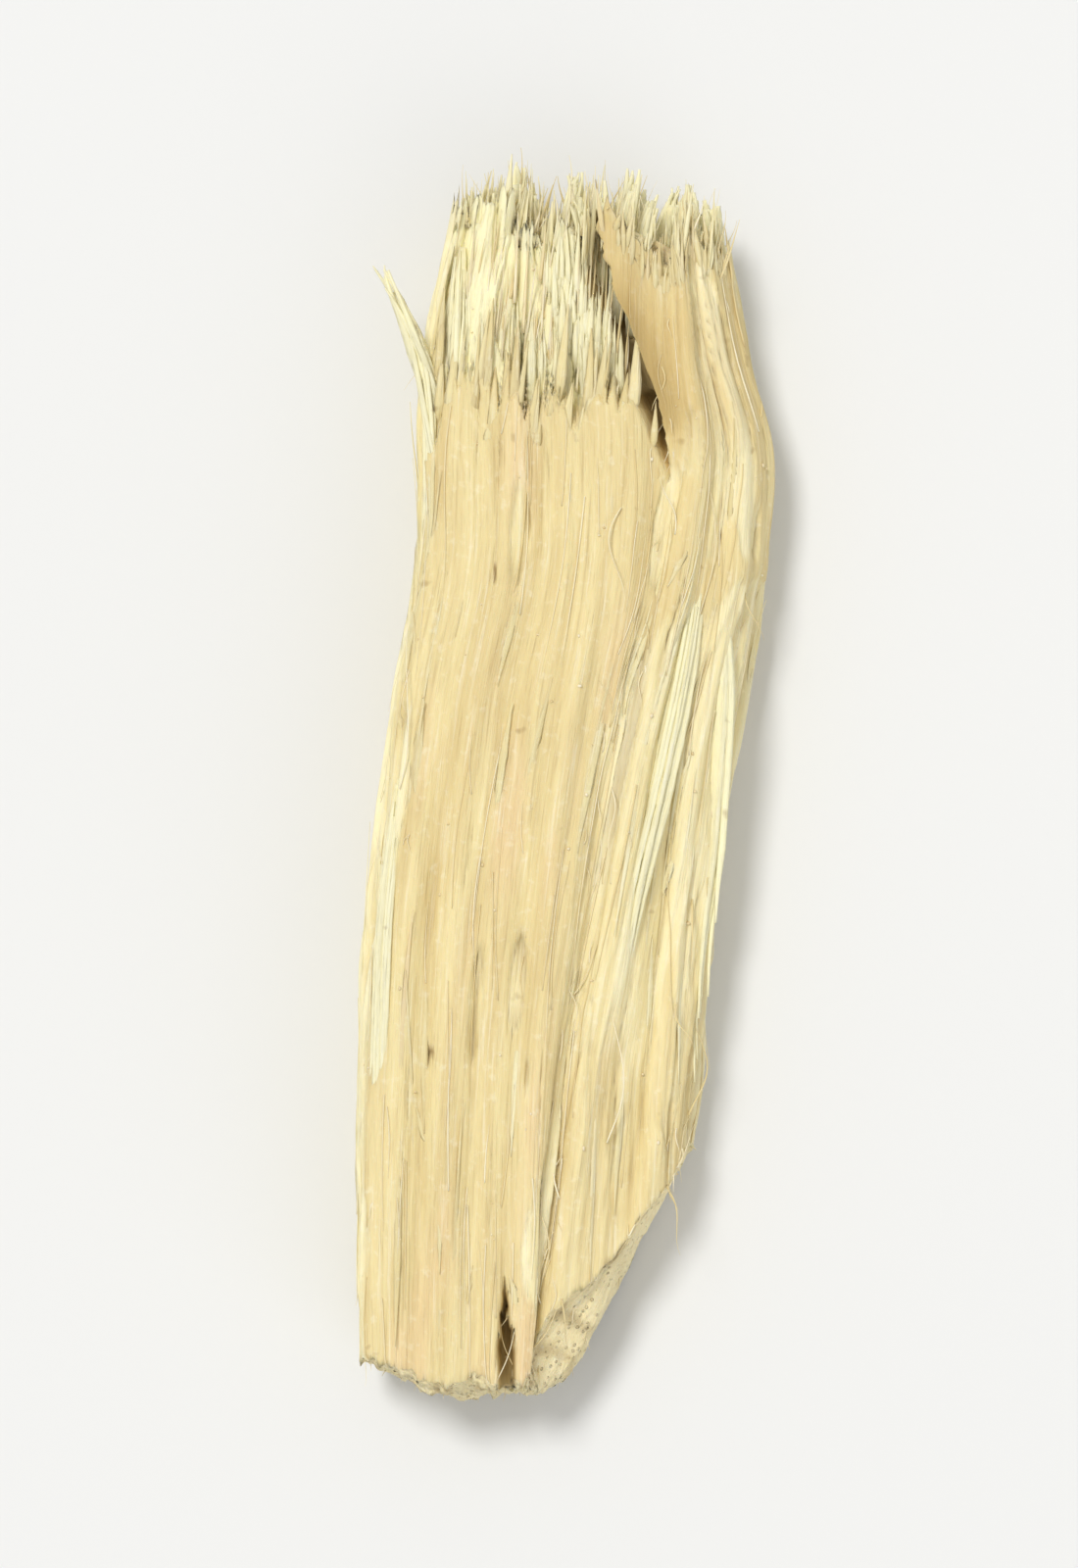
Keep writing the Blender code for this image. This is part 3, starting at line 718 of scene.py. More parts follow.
# Strands of fibre: the side ones as points of x, y and lift over the skin, half width and the
# share of it left where a loose end broke; splinters past the torn end; ridges in the bared floor
strands = {
    "sides": [
        ([(1.62, 3.2, -0.16), (1.84, 1.7, -0.05), (1.9, 0.0, 0.0), (1.88, -1.6, 0.02),
          (1.98, -3.1, 0.04)], 0.18, 0.25),
        ([(1.44, 3.0, -0.14), (1.35, 1.8, -0.03), (1.17, 0.3, -0.02), (0.99, -1.1, -0.01),
          (0.9, -2.6, -0.14)], 0.18, None),
        ([(-1.72, -4.4, -0.14), (-1.8, -3.0, 0.01), (-1.86, -1.6, 0.03), (-1.84, 0.1, -0.12)], 0.13, None),
        ([(-1.55, 3.6, -0.3), (-1.86, 4.6, -0.14), (-2.22, 5.4, -0.1), (-2.66, 6.1, -0.14)], 0.15, 0.2),
    ],
    "splinters": 20, "splinterX": (-1.62, 2.97), "splinterZ": (0.45, 1.42),    # x: from, then width
    "splinterPast": (0.12, 0.78), "splinterHalf": (0.11, 0.22),
    "ridges": 6, "ridgeX": -1.62, "ridgeGap": 0.32, "ridgeHalf": (0.13, 0.19),
    "laths": 12, "leads": 9,
    # by kind: the core's share of girth and length; how many more laths there are, how far out
    # they lie, how much shorter they may end, over what length they thin out and how they bend
    "long": (0.8, 0.62, 8, 0.74, 0.45, 0.14, 0.09),
    "splinter": (0.8, 0.86, 0, 0.74, 0.3, 0.14, 0.04),
    "ridge": (0.52, 1.0, 16, 0.88, 0.4, 0.4, 0.0),
    "sunk": (0.52, 1.0, 16, 0.88, 0.2, 0.14, 0.0),
}
upward = (0.0, 0.0, 1.0)


def strandPaths():
    # every strand as kind, knots, half width, flatness, share of the width left at a loose end
    out = []
    for line, halfWidth, tip in strands["sides"]:
        knots = [(x, y, topHeight(min(max(x, -1.8), 1.9), y) + lift) for x, y, lift in line]
        out.append(("sunk" if tip is None else "long", knots, halfWidth, 0.75, tip))
    draw = random.Random(18).uniform
    torn, count = ends["tornY"], strands["splinters"]
    for i in range(count):
        x = strands["splinterX"][0] + strands["splinterX"][1] * (i + draw(0.2, 0.8)) / count
        z, high = draw(*strands["splinterZ"]), torn + draw(*strands["splinterPast"])
        bend, lift = draw(-0.14, 0.14), draw(-0.1, 0.16)
        halfWidth, flatness, tip = draw(*strands["splinterHalf"]), draw(0.5, 0.85), draw(0.15, 0.65)
        draw(-1, 1)                     # not used, but it keeps the later draws in place
        z = min(z, topHeight(x + 0.12, 6.2) - 0.12 - halfWidth * flatness)
        knots = [(x, torn - 1.2, z), (x, torn - 0.5, z),
                 (x + 0.4 * bend, (torn - 0.5 + high) / 2, z + 0.3 * lift), (x + bend, high, z + lift)]
        out.append(("splinter", knots, halfWidth, flatness, tip))
    draw = random.Random(19).uniform
    bare = slab["thickness"] - tear["depth"]
    for i in range(strands["ridges"]):
        x = strands["ridgeX"] + strands["ridgeGap"] * i + draw(-0.05, 0.05)
        start = 4.2 + draw(-0.1, 0.3)
        stop = 6.3 - 0.12 * i + draw(-0.2, 0.4)
        knots = [(x + 0.05, start, bare - 0.16), (x, start + 0.7, bare - 0.08),
                 (x - 0.03, (start + stop) / 2 + 0.3, bare - 0.14), (x - 0.06, stop, bare - 0.24)]
        out.append(("ridge", knots, draw(*strands["ridgeHalf"]), 0.8, None))
    return out


def strandGirth(run, tip):
    if tip is None:
        return 0.25 + 0.75 * np.sin(math.pi * (0.1 + 0.8 * run))
    return np.minimum(0.4 + 0.6 * unit(run / 0.3), tip + (1 - tip) * unit((1 - run) / 0.45) ** 0.8)


def leadIn(spine, girth, rng):
    # fibres of the skin that run on into a strand which peels away
    out = []
    for _ in range(strands["leads"]):
        join = int(rng.uniform(0.35, 0.6) * len(spine))
        x, y = spine[0, 0] + rng.uniform(-0.3, -0.12), spine[0, 1] - rng.uniform(0.1, 0.8)
        low, high = (topHeight(max(x, -1.85), at) for at in (y, spine[0, 1]))
        to = spine[join] + np.array([rng.uniform(-0.7, 0.7), 0, rng.uniform(0.2, 0.7)]) * girth[join]
        line = curveThrough([(x, y, low - 0.05), (x - 0.02, spine[0, 1], high - 0.01), to,
                             spine[min(join + 6, len(spine) - 1)]], 7)
        t = evenly(len(line))
        width = rng.uniform(0.018, 0.045) * np.clip(t / 0.2, 0.2, 1) * np.clip((1 - t) / 0.3, 0.2, 1)
        out.append(slip(line, width, 0.6, 0, upward, 0.5, 0.95))
    return out


def makeStrands(material):
    # each strand is a core with a bundle of laths round it, which end one after another
    rng = seeded(61)
    cores, laths = [], []
    for kind, knots, halfWidth, flatness, tip in strandPaths():
        coreShare, keep, more, spread, shorter, thinning, bending = strands[kind]
        spine = curveThrough(knots, 9)
        run = evenly(len(spine))
        girth = strandGirth(run, tip) * halfWidth
        loose = tip is not None
        if loose:
            spine[:, 2] -= 0.22 * unit(1 - run / 0.14) ** 1.5
        kept = run <= keep
        core = girth[kept] * coreShare
        if kind == "long":
            core = core * np.clip((0.75 - run[kept]) / 0.3, 0.3, 1)
        cores.append(slip(spine[kept], core, flatness, 0, upward, 0.25, 0.75))
        side, over = crossways(spine, upward)
        count = max(7, int(strands["laths"] * halfWidth / 0.14)) + more
        for k in range(count):
            far, at = spread * math.sqrt((k + 0.5) / count), 2.4 * k + rng.normal(0, 0.25)
            wander = 0.1 * np.sin(rng.uniform(2, 5) * run + rng.uniform(0, 6))
            cx, cz = far * math.cos(at) + wander, far * math.sin(at) + 0.5 * wander
            line = spine + side * (cx * girth)[:, None] + over * (cz * girth * flatness)[:, None]
            stop = 1 - shorter * rng.random() ** 1.5 if loose else rng.uniform(1 - shorter, 1.0)
            start = 0.0 if loose else rng.uniform(0.0, 0.15)
            mine = (run >= start) & (run <= stop + 0.02)
            blunt = rng.uniform(0.15, 0.7) if loose else 0.1
            left = np.clip((stop + 0.03 - run[mine]) / thinning, blunt, 1) ** 0.7
            width = girth[mine] * rng.uniform(0.8, 1.35) / math.sqrt(count) * left + 0.004
            bend = rng.normal(0, 1, 3) * bending
            line = line[mine] + bend * unit((run[mine] - 0.5) / 0.5)[:, None] ** 2
            laths.append(slip(line, width, rng.uniform(0.5, 0.9), 0, upward, 0.6, 0.95))
        if kind == "long" and spine[-1, 0] < 0:
            laths += leadIn(spine, girth, rng)
    makeTubes("rootStrandCores", cores, 12, material)
    makeTubes("rootStrands", laths, 6, material)


def gathered(kind, make, rng, *more):
    # as many as the kind has, from a function that gives nothing back where a place doesn't suit
    count, *sizes = kind
    out = []
    while len(out) < count:
        made = make(rng, *sizes, *more)
        if made:
            out.append(made)
    return out


def skinLine(around, ys, lifts, drift):
    spots, outs = zip(*[onSkin(around + step, y, lift) for y, lift, step in zip(ys, lifts, drift)])
    line = np.array(spots)
    line[1:-1] = (line[:-2] + 2 * line[1:-1] + line[2:]) / 4
    return line, np.mean(outs, axis=0)


def endSpot(shape, across, up, corner, rng):
    # a random place on an end, within these spans of it and not too near its corners
    while True:
        u, w = rng.uniform(-across, across), rng.uniform(*up)
        if abs(u) ** 4 + abs(2 * w - 1) ** 4 <= corner:
            y = shape(np.array([u]), np.array([w]))
            x, z = place(np.array([u]), np.array([w]), y)
            return float(x[0]), float(y[0]), float(z[0])


# Slivers: each kind's number, half widths and lengths; "rim" and "end" have the least that they
# stand past an end, and how much more
slivers = {
    "lying": (150, (0.012, 0.055), (0.35, 2.4)),
    "lift": 0.1,
    "broken": (46, (0.025, 0.075), (0.5, 1.3)),
    "crack": (150, (0.013, 0.044), (0.55, 1.1)),
    "rim": (60, (0.014, 0.042), (0.12, 0.38)),
    "end": (330, (0.018, 0.055), (0.15, 0.5)),
}
tilted = (0.0, 0.1, 1.0)


def pointed(width, t, tip, blunt, root, foot=0.2):
    # widths that thin out over these shares of the length, at the tip and at the root
    return width * np.clip((1 - t) / tip, blunt, 1) ** 0.8 * np.clip(t / root, foot, 1)


def lyingSlip(rng, halfWidth, lengths):
    # wood that lies along the skin, with one end lifted clear
    around, y = rng.random(), rng.uniform(-6.7, 6.0)
    length = rng.uniform(*lengths) ** 1.2 * rng.choice([-1, 1])
    if abs(y + length) > 6.6:
        return None
    t = evenly(12)
    width = pointed(rng.uniform(*halfWidth), t, 0.45, 0.08, 0.15, 0.25)
    lifts = -0.012 + slivers["lift"] * rng.random() ** 2 * t ** rng.uniform(2, 5) + 0.01 * t
    line, over = skinLine(around, y + length * t, lifts, rng.normal(0, 0.006) * t)
    row, column = gridPlace(around, y)
    skin = max(surface[key][int(row), int(column)] for key in ("skin", "aged"))
    return slip(line, width, 0.22, 0.003, over, 0.35, 0.3 * (1 - skin), 0.85 * skin)


def brokenSlip(rng, halfWidth, lengths):
    # a point of the outer layer that lies out over the torn-away strip
    x = rng.uniform(-1.85, 0.8)
    y = float(tearEdge(np.array([x]))[0][0]) - rng.uniform(0.25, 0.6)
    if x > crackX(y) - 0.1:
        return None
    t = evenly(10)
    ys = y + rng.uniform(*lengths) * t
    top = topHeight(x, y)
    z = top - 0.02 - 0.09 * (1 - ease(0.0, 0.35, t))
    z = z + (np.maximum(bareFloor(x, ys), top - 0.3) - top) * ease(0.35, 1.3, t) * rng.uniform(0.3, 1.0)
    line = np.stack([x + rng.normal(0, 0.03) * t ** 2, ys, z], axis=1)
    return slip(line, pointed(rng.uniform(*halfWidth), t, 0.6, 0.06, 0.2), 0.2, 0.006, tilted, 0.3, 0.0, 0.75)


def rimSlip(rng, halfWidth, past):
    # a point of the outer layer that runs on past the end of the flap beside the crack
    ys, at, _, edge = crackPlaces
    around = rng.uniform(np.interp(ends["tornY"], ys, at) + 0.014, edge)
    _, column = gridPlace(around, ends["tornY"])
    rimY = surface["points"][surface["rowSpan"][1] - 1, int(column), 1]
    root, _ = onSkin(around, rimY - 0.42, -0.03)
    on, normal = onSkin(around, rimY - 0.12, 0.004)
    t = evenly(9)
    length = 0.3 + past[0] + past[1] * rng.random() ** 1.6
    bow = 0.02 * np.sin(math.pi * np.minimum(t * 1.5, 1))
    line = root + (on - root) / 0.3 * length * t[:, None] + normal * bow[:, None]
    line[:, 0] += rng.normal(0, 0.03) * t ** 2
    width = pointed(rng.uniform(*halfWidth), t, 0.5, 0.08, 0.3)
    return slip(line, width, 0.25, 0.004, normal, 0.4, 0.0, 0.75)


def crackSlip(rng, halfWidth, lengths):
    # bared wood that stands up a little along the left of the crack
    y = rng.uniform(4.75, 6.05)
    x = crackX(y + 0.45) - 0.06 - 0.42 * rng.random() ** 1.2
    t = evenly(11)
    ys = y - 0.15 + rng.uniform(*lengths) * t
    proud = 0.09 * rng.random() ** 1.5
    z = bareFloor(x, ys) - 0.07 + (0.07 + proud) * ease(0.0, 0.35, t) - 0.06 * ease(0.6, 1.0, t)
    line = np.stack([x + rng.normal(0, 0.03) * t ** 2 - 0.06 * t, ys, z], axis=1)
    return slip(line, pointed(rng.uniform(*halfWidth), t, 0.55, 0.08, 0.2), 0.6, 0, tilted, 0.6, 1.0)


def endLath(rng, halfWidth, past):
    # wood that carries on past the torn end, mostly short and pointed
    x, y, z = endSpot(tornEnd, 0.97, (0.04, 0.96), 0.72, rng)
    if x < crackX(y) and z > bareFloor(x, y) - 0.05:
        return None
    length = 0.4 + past[0] + past[1] * rng.random() ** 1.8
    t = evenly(9)
    bend = rng.normal(0, 0.05, 2)
    line = np.stack([x + bend[0] * t ** 2, y - 0.4 + length * t, z + bend[1] * t ** 2], axis=1)
    width = pointed(rng.uniform(*halfWidth), t, 0.5, 0.1, 0.3)
    turn = rng.uniform(0, math.pi)
    return slip(line, width, rng.uniform(0.25, 0.6), 0, (math.cos(turn), 0.1, math.sin(turn)), 0.5, 0.3)


def makeSlivers(material):
    rng = seeded(65)
    woody = gathered(slivers["lying"], lyingSlip, rng) + gathered(slivers["end"], endLath, rng)
    makeTubes("rootSlivers", woody + gathered(slivers["crack"], crackSlip, seeded(67)), 6, material)
    skins = gathered(slivers["broken"], brokenSlip, rng) + gathered(slivers["rim"], rimSlip, rng)
    makeTubes("skinSlivers", skins, 6, material)


# Loose fibres and hairs, each a fine tapered tube: each kind's number, radii and lengths; "edge",
# "torn" and "cut" have the least length, and how much more
fibres = {
    "clinging": (230, (0.005, 0.013), (0.5, 2.8)),    # along the skin, lifting at one end
    "edge": (150, (0.005, 0.012), (0.15, 0.8)),       # fuzz on the edges of the split faces
    "torn": (260, (0.007, 0.022), (0.25, 0.7)),       # the brush at the torn end
    "cut": (90, (0.006, 0.014), (0.25, 0.05)),
    "bare": (110, (0.008, 0.024), (0.3, 1.2)),        # in the torn-away strip and at its ragged edge
    "curly": (8, (0.007, 0.012), (0.9, 2.2)),
    "boxMargin": (0.08, 0.25),
}


def taper(count, radius, root=1.0):
    t = evenly(count)
    return radius * (root * (1 - t) + 0.18 * t + 0.35 * np.sin(math.pi * t) * (1 - t))


def clingingFibre(rng, radius, lengths):
    around, y = rng.random(), rng.uniform(-6.9, 6.0)
    length = rng.uniform(*lengths) * rng.choice([-1, 1])
    t = evenly(14)
    lifts = 0.003 + 0.09 * rng.random() ** 3 * t ** rng.uniform(2, 4)
    drift = rng.normal(0, 0.007) * t + rng.normal(0, 0.0024) * np.sin(4 * t)
    return skinLine(around, y + length * t, lifts, drift)[0], taper(14, rng.uniform(*radius), 0.8)


def springing(spot, direction, length, radius, curls, rng):
    # a fibre that leaves a spot in a direction and bends away
    radius, curl = rng.uniform(*radius), rng.uniform(*curls)
    t = evenly(11)[:, None]
    direction = unitVector(direction)
    bend = rng.normal(0, 1, 3)
    bend = unitVector(bend - direction * bend.dot(direction))
    sway = np.cross(direction, bend) * 0.3 * np.sin(5 * t)
    return spot + length * (direction * t + curl * (bend * t ** 2 + sway)), taper(11, radius)


def edgeFibre(rng, radius, lengths):
    around = rng.choice(surface["edges"]) + rng.normal(0, 0.012)
    spot, normal = onSkin(around, rng.uniform(-6.6, 6.3), -0.01)
    along = np.array([0, rng.choice([-1, 1]), 0])
    direction = along + normal * 0.5 * rng.random() ** 2 + rng.normal(0, 0.08, 3)
    length = lengths[0] + lengths[1] * rng.random() ** 2
    return springing(spot, direction, length, radius, (0.05, 0.35), rng)


def brushFibre(rng, radius, lengths, shape, sign):
    x, y, z = endSpot(shape, 0.95, (0.08, 0.8), 0.85, rng)
    if sign > 0 and x < crackX(y) and z > slab["thickness"] - 0.55:
        return None
    direction = np.array([rng.normal(0, 0.16), sign, rng.normal(0, 0.14)])
    length = lengths[0] + rng.uniform(0.2, 1.0) ** 2 * lengths[1]
    return springing((x, y - sign * 0.22, z), direction, length, radius, (0.02, 0.22), rng)


def bareFibre(rng, radius, lengths):
    x = rng.uniform(-1.85, 0.5)
    y = rng.uniform(float(tearEdge(np.array([x]))[0][0]) - 0.1, 6.2)
    if x > crackX(y) - 0.08:
        return None
    direction = np.array([rng.normal(0, 0.05), 1.0, rng.uniform(-0.04, 0.1)])
    length = min(rng.uniform(*lengths), 6.9 - y)
    return springing((x, y, float(bareFloor(x, y)) - 0.04), direction, length, radius, (0.01, 0.07), rng)


def curlyFibre(rng, radius, lengths):
    around = rng.choice(surface["edges"]) + rng.normal(0, 0.03)
    spot, normal = onSkin(around, rng.uniform(-6.0, 5.5), 0.0)
    t = evenly(26)[:, None]
    length = rng.uniform(*lengths)
    direction = np.array([0, rng.choice([-1, 1]), 0.0])
    wave = rng.uniform(0.05, 0.14)
    line = spot + direction * length * t + normal * (0.02 + wave * np.sin(math.pi * t) ** 2) \
        + np.cross(direction, normal) * wave * np.sin(rng.uniform(4, 8) * t)
    return line, taper(26, rng.uniform(*radius), 0.9)


def splitFibres():
    # a few fibres that still cross the split
    rng = seeded(83)
    t = np.linspace(-1, 1, 10)
    for y, turn, reach in split["fibres"]:
        xs = splitX(y)[0] + turn * rng.uniform(0.08, 0.12) * (t + 0.25 * np.cos(2.2 * t))
        top = topHeight(xs[5], y) - rng.uniform(0.06, 0.3)
        line = np.stack([xs, y + reach * t, top - 0.03 * np.cos(1.6 * t)], axis=1)
        yield line, np.full(10, rng.uniform(0.004, 0.008))


def makeFibres(material):
    rng = seeded(81)
    kinds = (("clinging", clingingFibre), ("edge", edgeFibre), ("torn", brushFibre, tornEnd, 1),
             ("cut", brushFibre, cutEnd, -1), ("bare", bareFibre), ("curly", curlyFibre))
    paths = [path for kind, make, *more in kinds for path in gathered(fibres[kind], make, rng, *more)]
    low, high = (np.array(corner)[:2] / mm - chipShift[:2] for corner in cadBox)
    margin, kept = np.array(fibres["boxMargin"]), []
    for line, radii in paths + list(splitFibres()):
        inside = ((line[:, :2] > low - margin) & (line[:, :2] < high + margin)).all(axis=1)
        stay = int(np.cumprod(inside).sum())
        if stay > 4:
            kept.append(slip(aboveTable(line[:stay]) + (0, 0, 0.01), radii[:stay], 1, 0, None, 0.0))
    makeTubes("bastFibres", kept, 5, material, wooden=False)


# Crumbs of starch and broken fibre that cling to the chip
crumbs = {"count": 170, "size": (0.007, 0.022)}


def makeCrumbs(material):
    rng = seeded(91)
    golden = (1 + math.sqrt(5)) / 2
    ball = np.array([(a, b * golden, 0) for a in (-1, 1) for b in (-1, 1)])
    ball = np.concatenate([ball, ball[:, [2, 0, 1]], ball[:, [1, 2, 0]]]) / math.hypot(1, golden)
    apart = np.linalg.norm(ball[:, None] - ball, axis=2)
    near = [f for f in itertools.combinations(range(12), 3) if apart[np.ix_(f, f)].max() < 1.2]
    faces = np.array([f if np.linalg.det(ball[list(f)]) > 0 else f[::-1] for f in near])
    points = []
    for n in range(crumbs["count"]):
        size = rng.uniform(*crumbs["size"])
        spot, _ = onSkin(rng.random(), rng.uniform(-6.8, 6.3), size * 0.4)
        points.append(spot + ball * (1 + rng.normal(0, 0.18, (12, 1))) * size * rng.uniform(0.6, 1.5, 3))
    triangles = np.concatenate([faces + 12 * n for n in range(crumbs["count"])])
    tones = np.repeat(rng.random(crumbs["count"]), 12)
    makePiece("starchCrumbs", aboveTable(np.concatenate(points)), [triangles], {"tone": tones}, material)


def tint(red, green, blue):
    # a screen colour of 0 to 255 as the shader's linear colour
    scaled = [c / 255 for c in (red, green, blue)]
    return tuple(c / 12.92 if c <= 0.04045 else ((c + 0.055) / 1.055) ** 2.4 for c in scaled) + (1.0,)


class Nodes:
    # short ways to add and join a material's nodes
    def __init__(self, name):
        self.material = bpy.data.materials.new(name)
        self.material.use_nodes = True
        self.tree = self.material.node_tree

    def feed(self, node, inputs):
        for key, value in inputs.items():
            if isinstance(value, (int, float, tuple)):
                node.inputs[key].default_value = value
            elif value is not None:
                self.tree.links.new(value, node.inputs[key])

    def add(self, kind, output, inputs, **settings):
        node = self.tree.nodes.new("ShaderNode" + kind)
        for key, value in settings.items():
            setattr(node, key, value)
        self.feed(node, inputs)
        return node.outputs[output]

    def held(self, name, output="Fac"):
        return self.add("Attribute", output, {}, attribute_name=name)

    def where(self):
        return self.add("TexCoord", "Object", {})

    def noise(self, vector, scale, detail=3.0, rough=0.55):
        if isinstance(scale, tuple):
            vector = self.add("VectorMath", 0, {0: vector, 1: scale}, operation="MULTIPLY")
            scale = 1.0
        return self.add("TexNoise", "Fac", {"Vector": vector, "Scale": scale, "Detail": detail,
                                            "Roughness": rough})

    def remap(self, value, low, high, start=0.0, stop=1.0):
        return self.add("MapRange", "Result", {"Value": value, "From Min": low, "From Max": high,
                                               "To Min": start, "To Max": stop})

    def math(self, operation, *values):
        return self.add("Math", 0, dict(enumerate(values)), operation=operation)

    def blend(self, share, a, b):
        return self.add("Mix", 2, {0: share, 6: a, 7: b}, data_type="RGBA")

    def turned(self, colour, *steps):
        # the colour after it turns to each tone, up to a share, as a value goes from low to high
        for value, low, high, share, tone in steps:
            colour = self.blend(self.remap(value, low, high, 0.0, share), colour, tone)
        return colour

    def bump(self, *layers):
        below = None
        for height, distance, strength in layers:
            below = self.add("Bump", "Normal", {"Height": height, "Distance": distance, "Strength": strength,
                                                "Normal": below})
        return below

    def finish(self, *values):
        keys = ("Base Color", "Roughness", "Normal", "Specular IOR Level", "Subsurface Weight",
                "Subsurface Radius", "Subsurface Scale")
        self.feed(self.tree.nodes["Principled BSDF"], dict(zip(keys, values)))
        return self.material


# Dried root: cream to straw wood with streaks along the grain, tan outer face, painted shade in
# the hollows, the furrow, the crack and the split, a chalky bloom of starch
rootTones = {
    # tan and dark serve only as painted shade in the crack and the split
    "cream": (246, 237, 196), "straw": (233, 218, 165), "olive": (214, 198, 140), "skin": (233, 217, 164),
    "skinWarm": (221, 201, 147), "pink": (232, 203, 158), "brown": (140, 106, 58), "dark": (128, 104, 56),
    "tan": (200, 168, 102), "endGrain": (246, 230, 184), "bloom": (250, 245, 222), "green": (251, 246, 204),
}


def rootMaterial():
    n = Nodes("driedRoot")
    tone = {name: tint(*screen) for name, screen in rootTones.items()}
    brown, bloom = tone["brown"], tone["bloom"]
    along, where = n.held("grain", "Vector"), n.where()
    skin, bare, layer, endGrain, deep = (n.held(key) for key in ("skin", "bare", "layer", "endGrain", "deep"))
    wide = n.noise(along, (1.1, 1.1, 0.22), 2.0)
    streak = n.noise(along, (5.5, 5.5, 0.4), 4.0, 0.62)
    thread = n.noise(along, (24.0, 24.0, 0.9), 3.0, 0.6)
    hair = n.noise(along, (62.0, 62.0, 2.6), 2.0, 0.6)
    dots = n.noise(where, 9000.0, 2.0, 0.6)
    pores = n.add("TexVoronoi", "Distance", {"Vector": where, "Scale": 11000.0}, feature="F1")
    pore = n.math("MULTIPLY", n.remap(pores, 0.26, 0.14), endGrain)
    streaked = n.math("MULTIPLY_ADD", layer, 0.12, streak)
    wood = n.turned(tone["straw"], (streaked, 0.36, 0.66, 1.0, tone["cream"]),
                    (wide, 0.54, 0.74, 0.55, tone["olive"]))
    wood = n.blend(n.math("MULTIPLY", bare, 0.74), wood, tone["green"])
    streaked = n.math("MULTIPLY_ADD", layer, 0.1, streak)
    face = n.turned(tone["skinWarm"], (streaked, 0.36, 0.62, 1.0, tone["skin"]),
                    (wide, 0.42, 0.28, 0.6, tone["pink"]))
    colour = n.blend(n.math("MAXIMUM", skin, n.held("aged")), wood, face)
    colour = n.turned(colour, (thread, 0.56, 0.74, 0.26, brown), (thread, 0.44, 0.28, 0.38, bloom),
                      (hair, 0.58, 0.8, 0.16, brown), (endGrain, 0.0, 1.0, 0.55, tone["endGrain"]),
                      (n.math("MULTIPLY", layer, endGrain), -0.1, -0.8, 0.4, brown),
                      (pore, 0.0, 1.0, 0.2, brown), (dots, 0.58, 0.76, 0.3, bloom),
                      (n.noise(where, 2600.0, 2.0), 0.71, 0.78, 0.5, brown))
    # painted shade: the hollows and the furrow darken towards brown, less on the bared wood
    hollowShade = n.remap(n.held("hollowShade"), 0.15, 0.8, 0.0, 0.34)
    hollowShadeOffBare = n.math("MULTIPLY", hollowShade, n.remap(bare, 0.0, 1.0, 1.0, 0.2))
    # painted shade: the crack and the split darken to tan and dark with their depth
    colour = n.turned(colour, (hollowShadeOffBare, 0.0, 1.0, 1.0, brown), (n.held("scar"), 0.0, 1.0, 0.65, brown),
                      (deep, 0.0, 0.6, 0.6, tone["tan"]), (deep, 0.4, 1.0, 0.62, tone["dark"]))
    grainy = n.math("MULTIPLY", n.math("ADD", n.noise(where, 5200.0, 3.0, 0.7), pore), endGrain)
    rough = n.remap(dots, 0.3, 0.7, 0.74, 0.94)
    normal = n.bump((grainy, 0.000045, 0.8), (thread, 0.00002, 0.8), (hair, 0.000011, 0.8),
                    (dots, 0.000007, 0.6))
    return n.finish(colour, rough, normal, 0.28, 0.15, (1.0, 0.7, 0.35), 0.00018)


def fibreMaterial():
    n = Nodes("bastFibre")
    mottled = n.noise(n.held("grain", "Vector"), (30.0, 30.0, 2.2), 2.0)
    colour = n.turned(tint(224, 204, 152), (n.held("tone"), 0.15, 0.85, 1.0, tint(246, 236, 204)),
                      (mottled, 0.5, 0.72, 0.4, tint(196, 168, 112)))
    rough = n.remap(mottled, 0.3, 0.7, 0.5, 0.72)
    return n.finish(colour, rough, None, 0.35, 0.2, (1.0, 0.75, 0.45), 0.00008)


def crumbMaterial():
    n = Nodes("starchCrumb")
    grainy = n.noise(n.where(), 14000.0, 2.0)
    colour = n.turned(tint(218, 196, 144), (n.held("tone"), 0.0, 1.0, 1.0, tint(246, 238, 212)),
                      (grainy, 0.5, 0.7, 0.4, tint(190, 160, 104)))
    return n.finish(colour, 0.9, n.bump((grainy, 0.000006, 0.7)))


rootWood = rootMaterial()
body = makeBody(rootWood)
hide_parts("root_chip")
makeStrands(rootWood)
makeSlivers(rootWood)
makeFibres(fibreMaterial())
makeCrumbs(crumbMaterial())


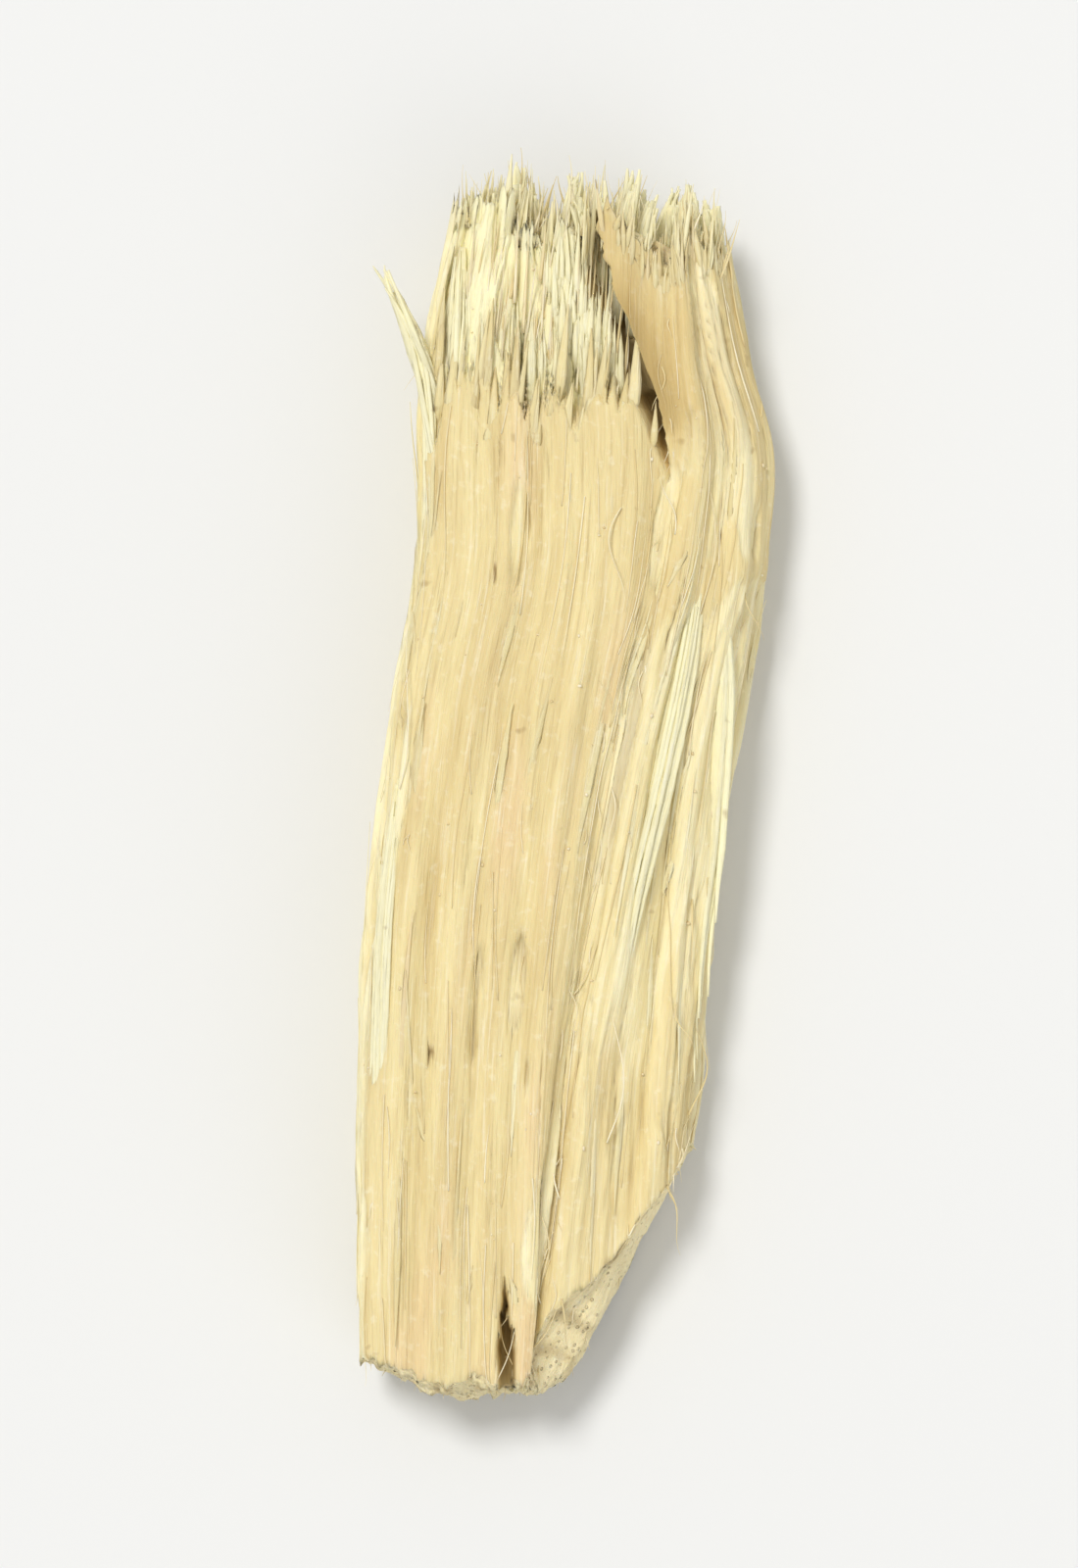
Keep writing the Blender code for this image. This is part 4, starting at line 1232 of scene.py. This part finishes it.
# The table, the light and the camera
stage = {
    "floorSide": 0.6,
    "floorColours": ((227, 228, 228), (222, 223, 223)),
    "skyStrength": 0.6,
    "lightColour": (1.0, 0.99, 0.97),
    "lamps": [                # where each stands, strength, degrees across
        ((-0.34, 0.36, 0.95), 1.85, 15),
        ((0.75, -0.85, 0.6), 0.42, 50),
    ],
    "lens": 180,
    "filmSide": 36,
    "fill": 0.8,              # share of the picture's height that the chip takes
    "lean": 5.0,              # the chip's torn end leans this many degrees to the right
}


def makeFloor():
    half = stage["floorSide"] / 2
    mesh = bpy.data.meshes.new("table")
    corners = [(-half, -half, 0), (half, -half, 0), (half, half, 0), (-half, half, 0)]
    mesh.from_pydata(corners, [], [(0, 1, 2, 3)])
    n = Nodes("paleTable")
    pale, dim = (tint(*screen) for screen in stage["floorColours"])
    mesh.materials.append(n.finish(n.turned(pale, (n.noise(n.where(), 40.0, 2.0), 0.3, 0.7, 0.3, dim)), 0.7))
    floor = addObject("table", mesh)


def makeLight():
    world = bpy.data.worlds.new("studio")
    world.use_nodes = True
    sky = world.node_tree.nodes["Background"].inputs
    sky["Color"].default_value = stage["lightColour"] + (1.0,)
    sky["Strength"].default_value = stage["skyStrength"]
    bpy.context.scene.world = world
    for toward, strength, spread in stage["lamps"]:
        light = bpy.data.lights.new("lamp", "SUN")
        light.energy = strength
        light.angle = math.radians(spread)
        light.color = stage["lightColour"]
        addObject("lamp", light).rotation_euler = Vector(toward).to_track_quat("Z", "Y").to_euler()


def makeCamera():
    low, high = map(Vector, cadBox)
    middle = (low + high) / 2
    lens = bpy.data.cameras.new("camera")
    lens.lens = stage["lens"]
    lens.sensor_width = stage["filmSide"]
    lens.clip_start = 0.001
    lens.clip_end = 10.0
    away = (high.y - low.y) / stage["fill"] * stage["lens"] / stage["filmSide"]
    camera = addObject("camera", lens)
    camera.location = (middle.x, middle.y, high.z + away)
    camera.rotation_euler = (0, 0, math.radians(stage["lean"]))
    bpy.context.scene.camera = camera


makeFloor()
makeLight()
makeCamera()
bpy.context.scene.view_settings.view_transform = "Standard"
print("stage set")
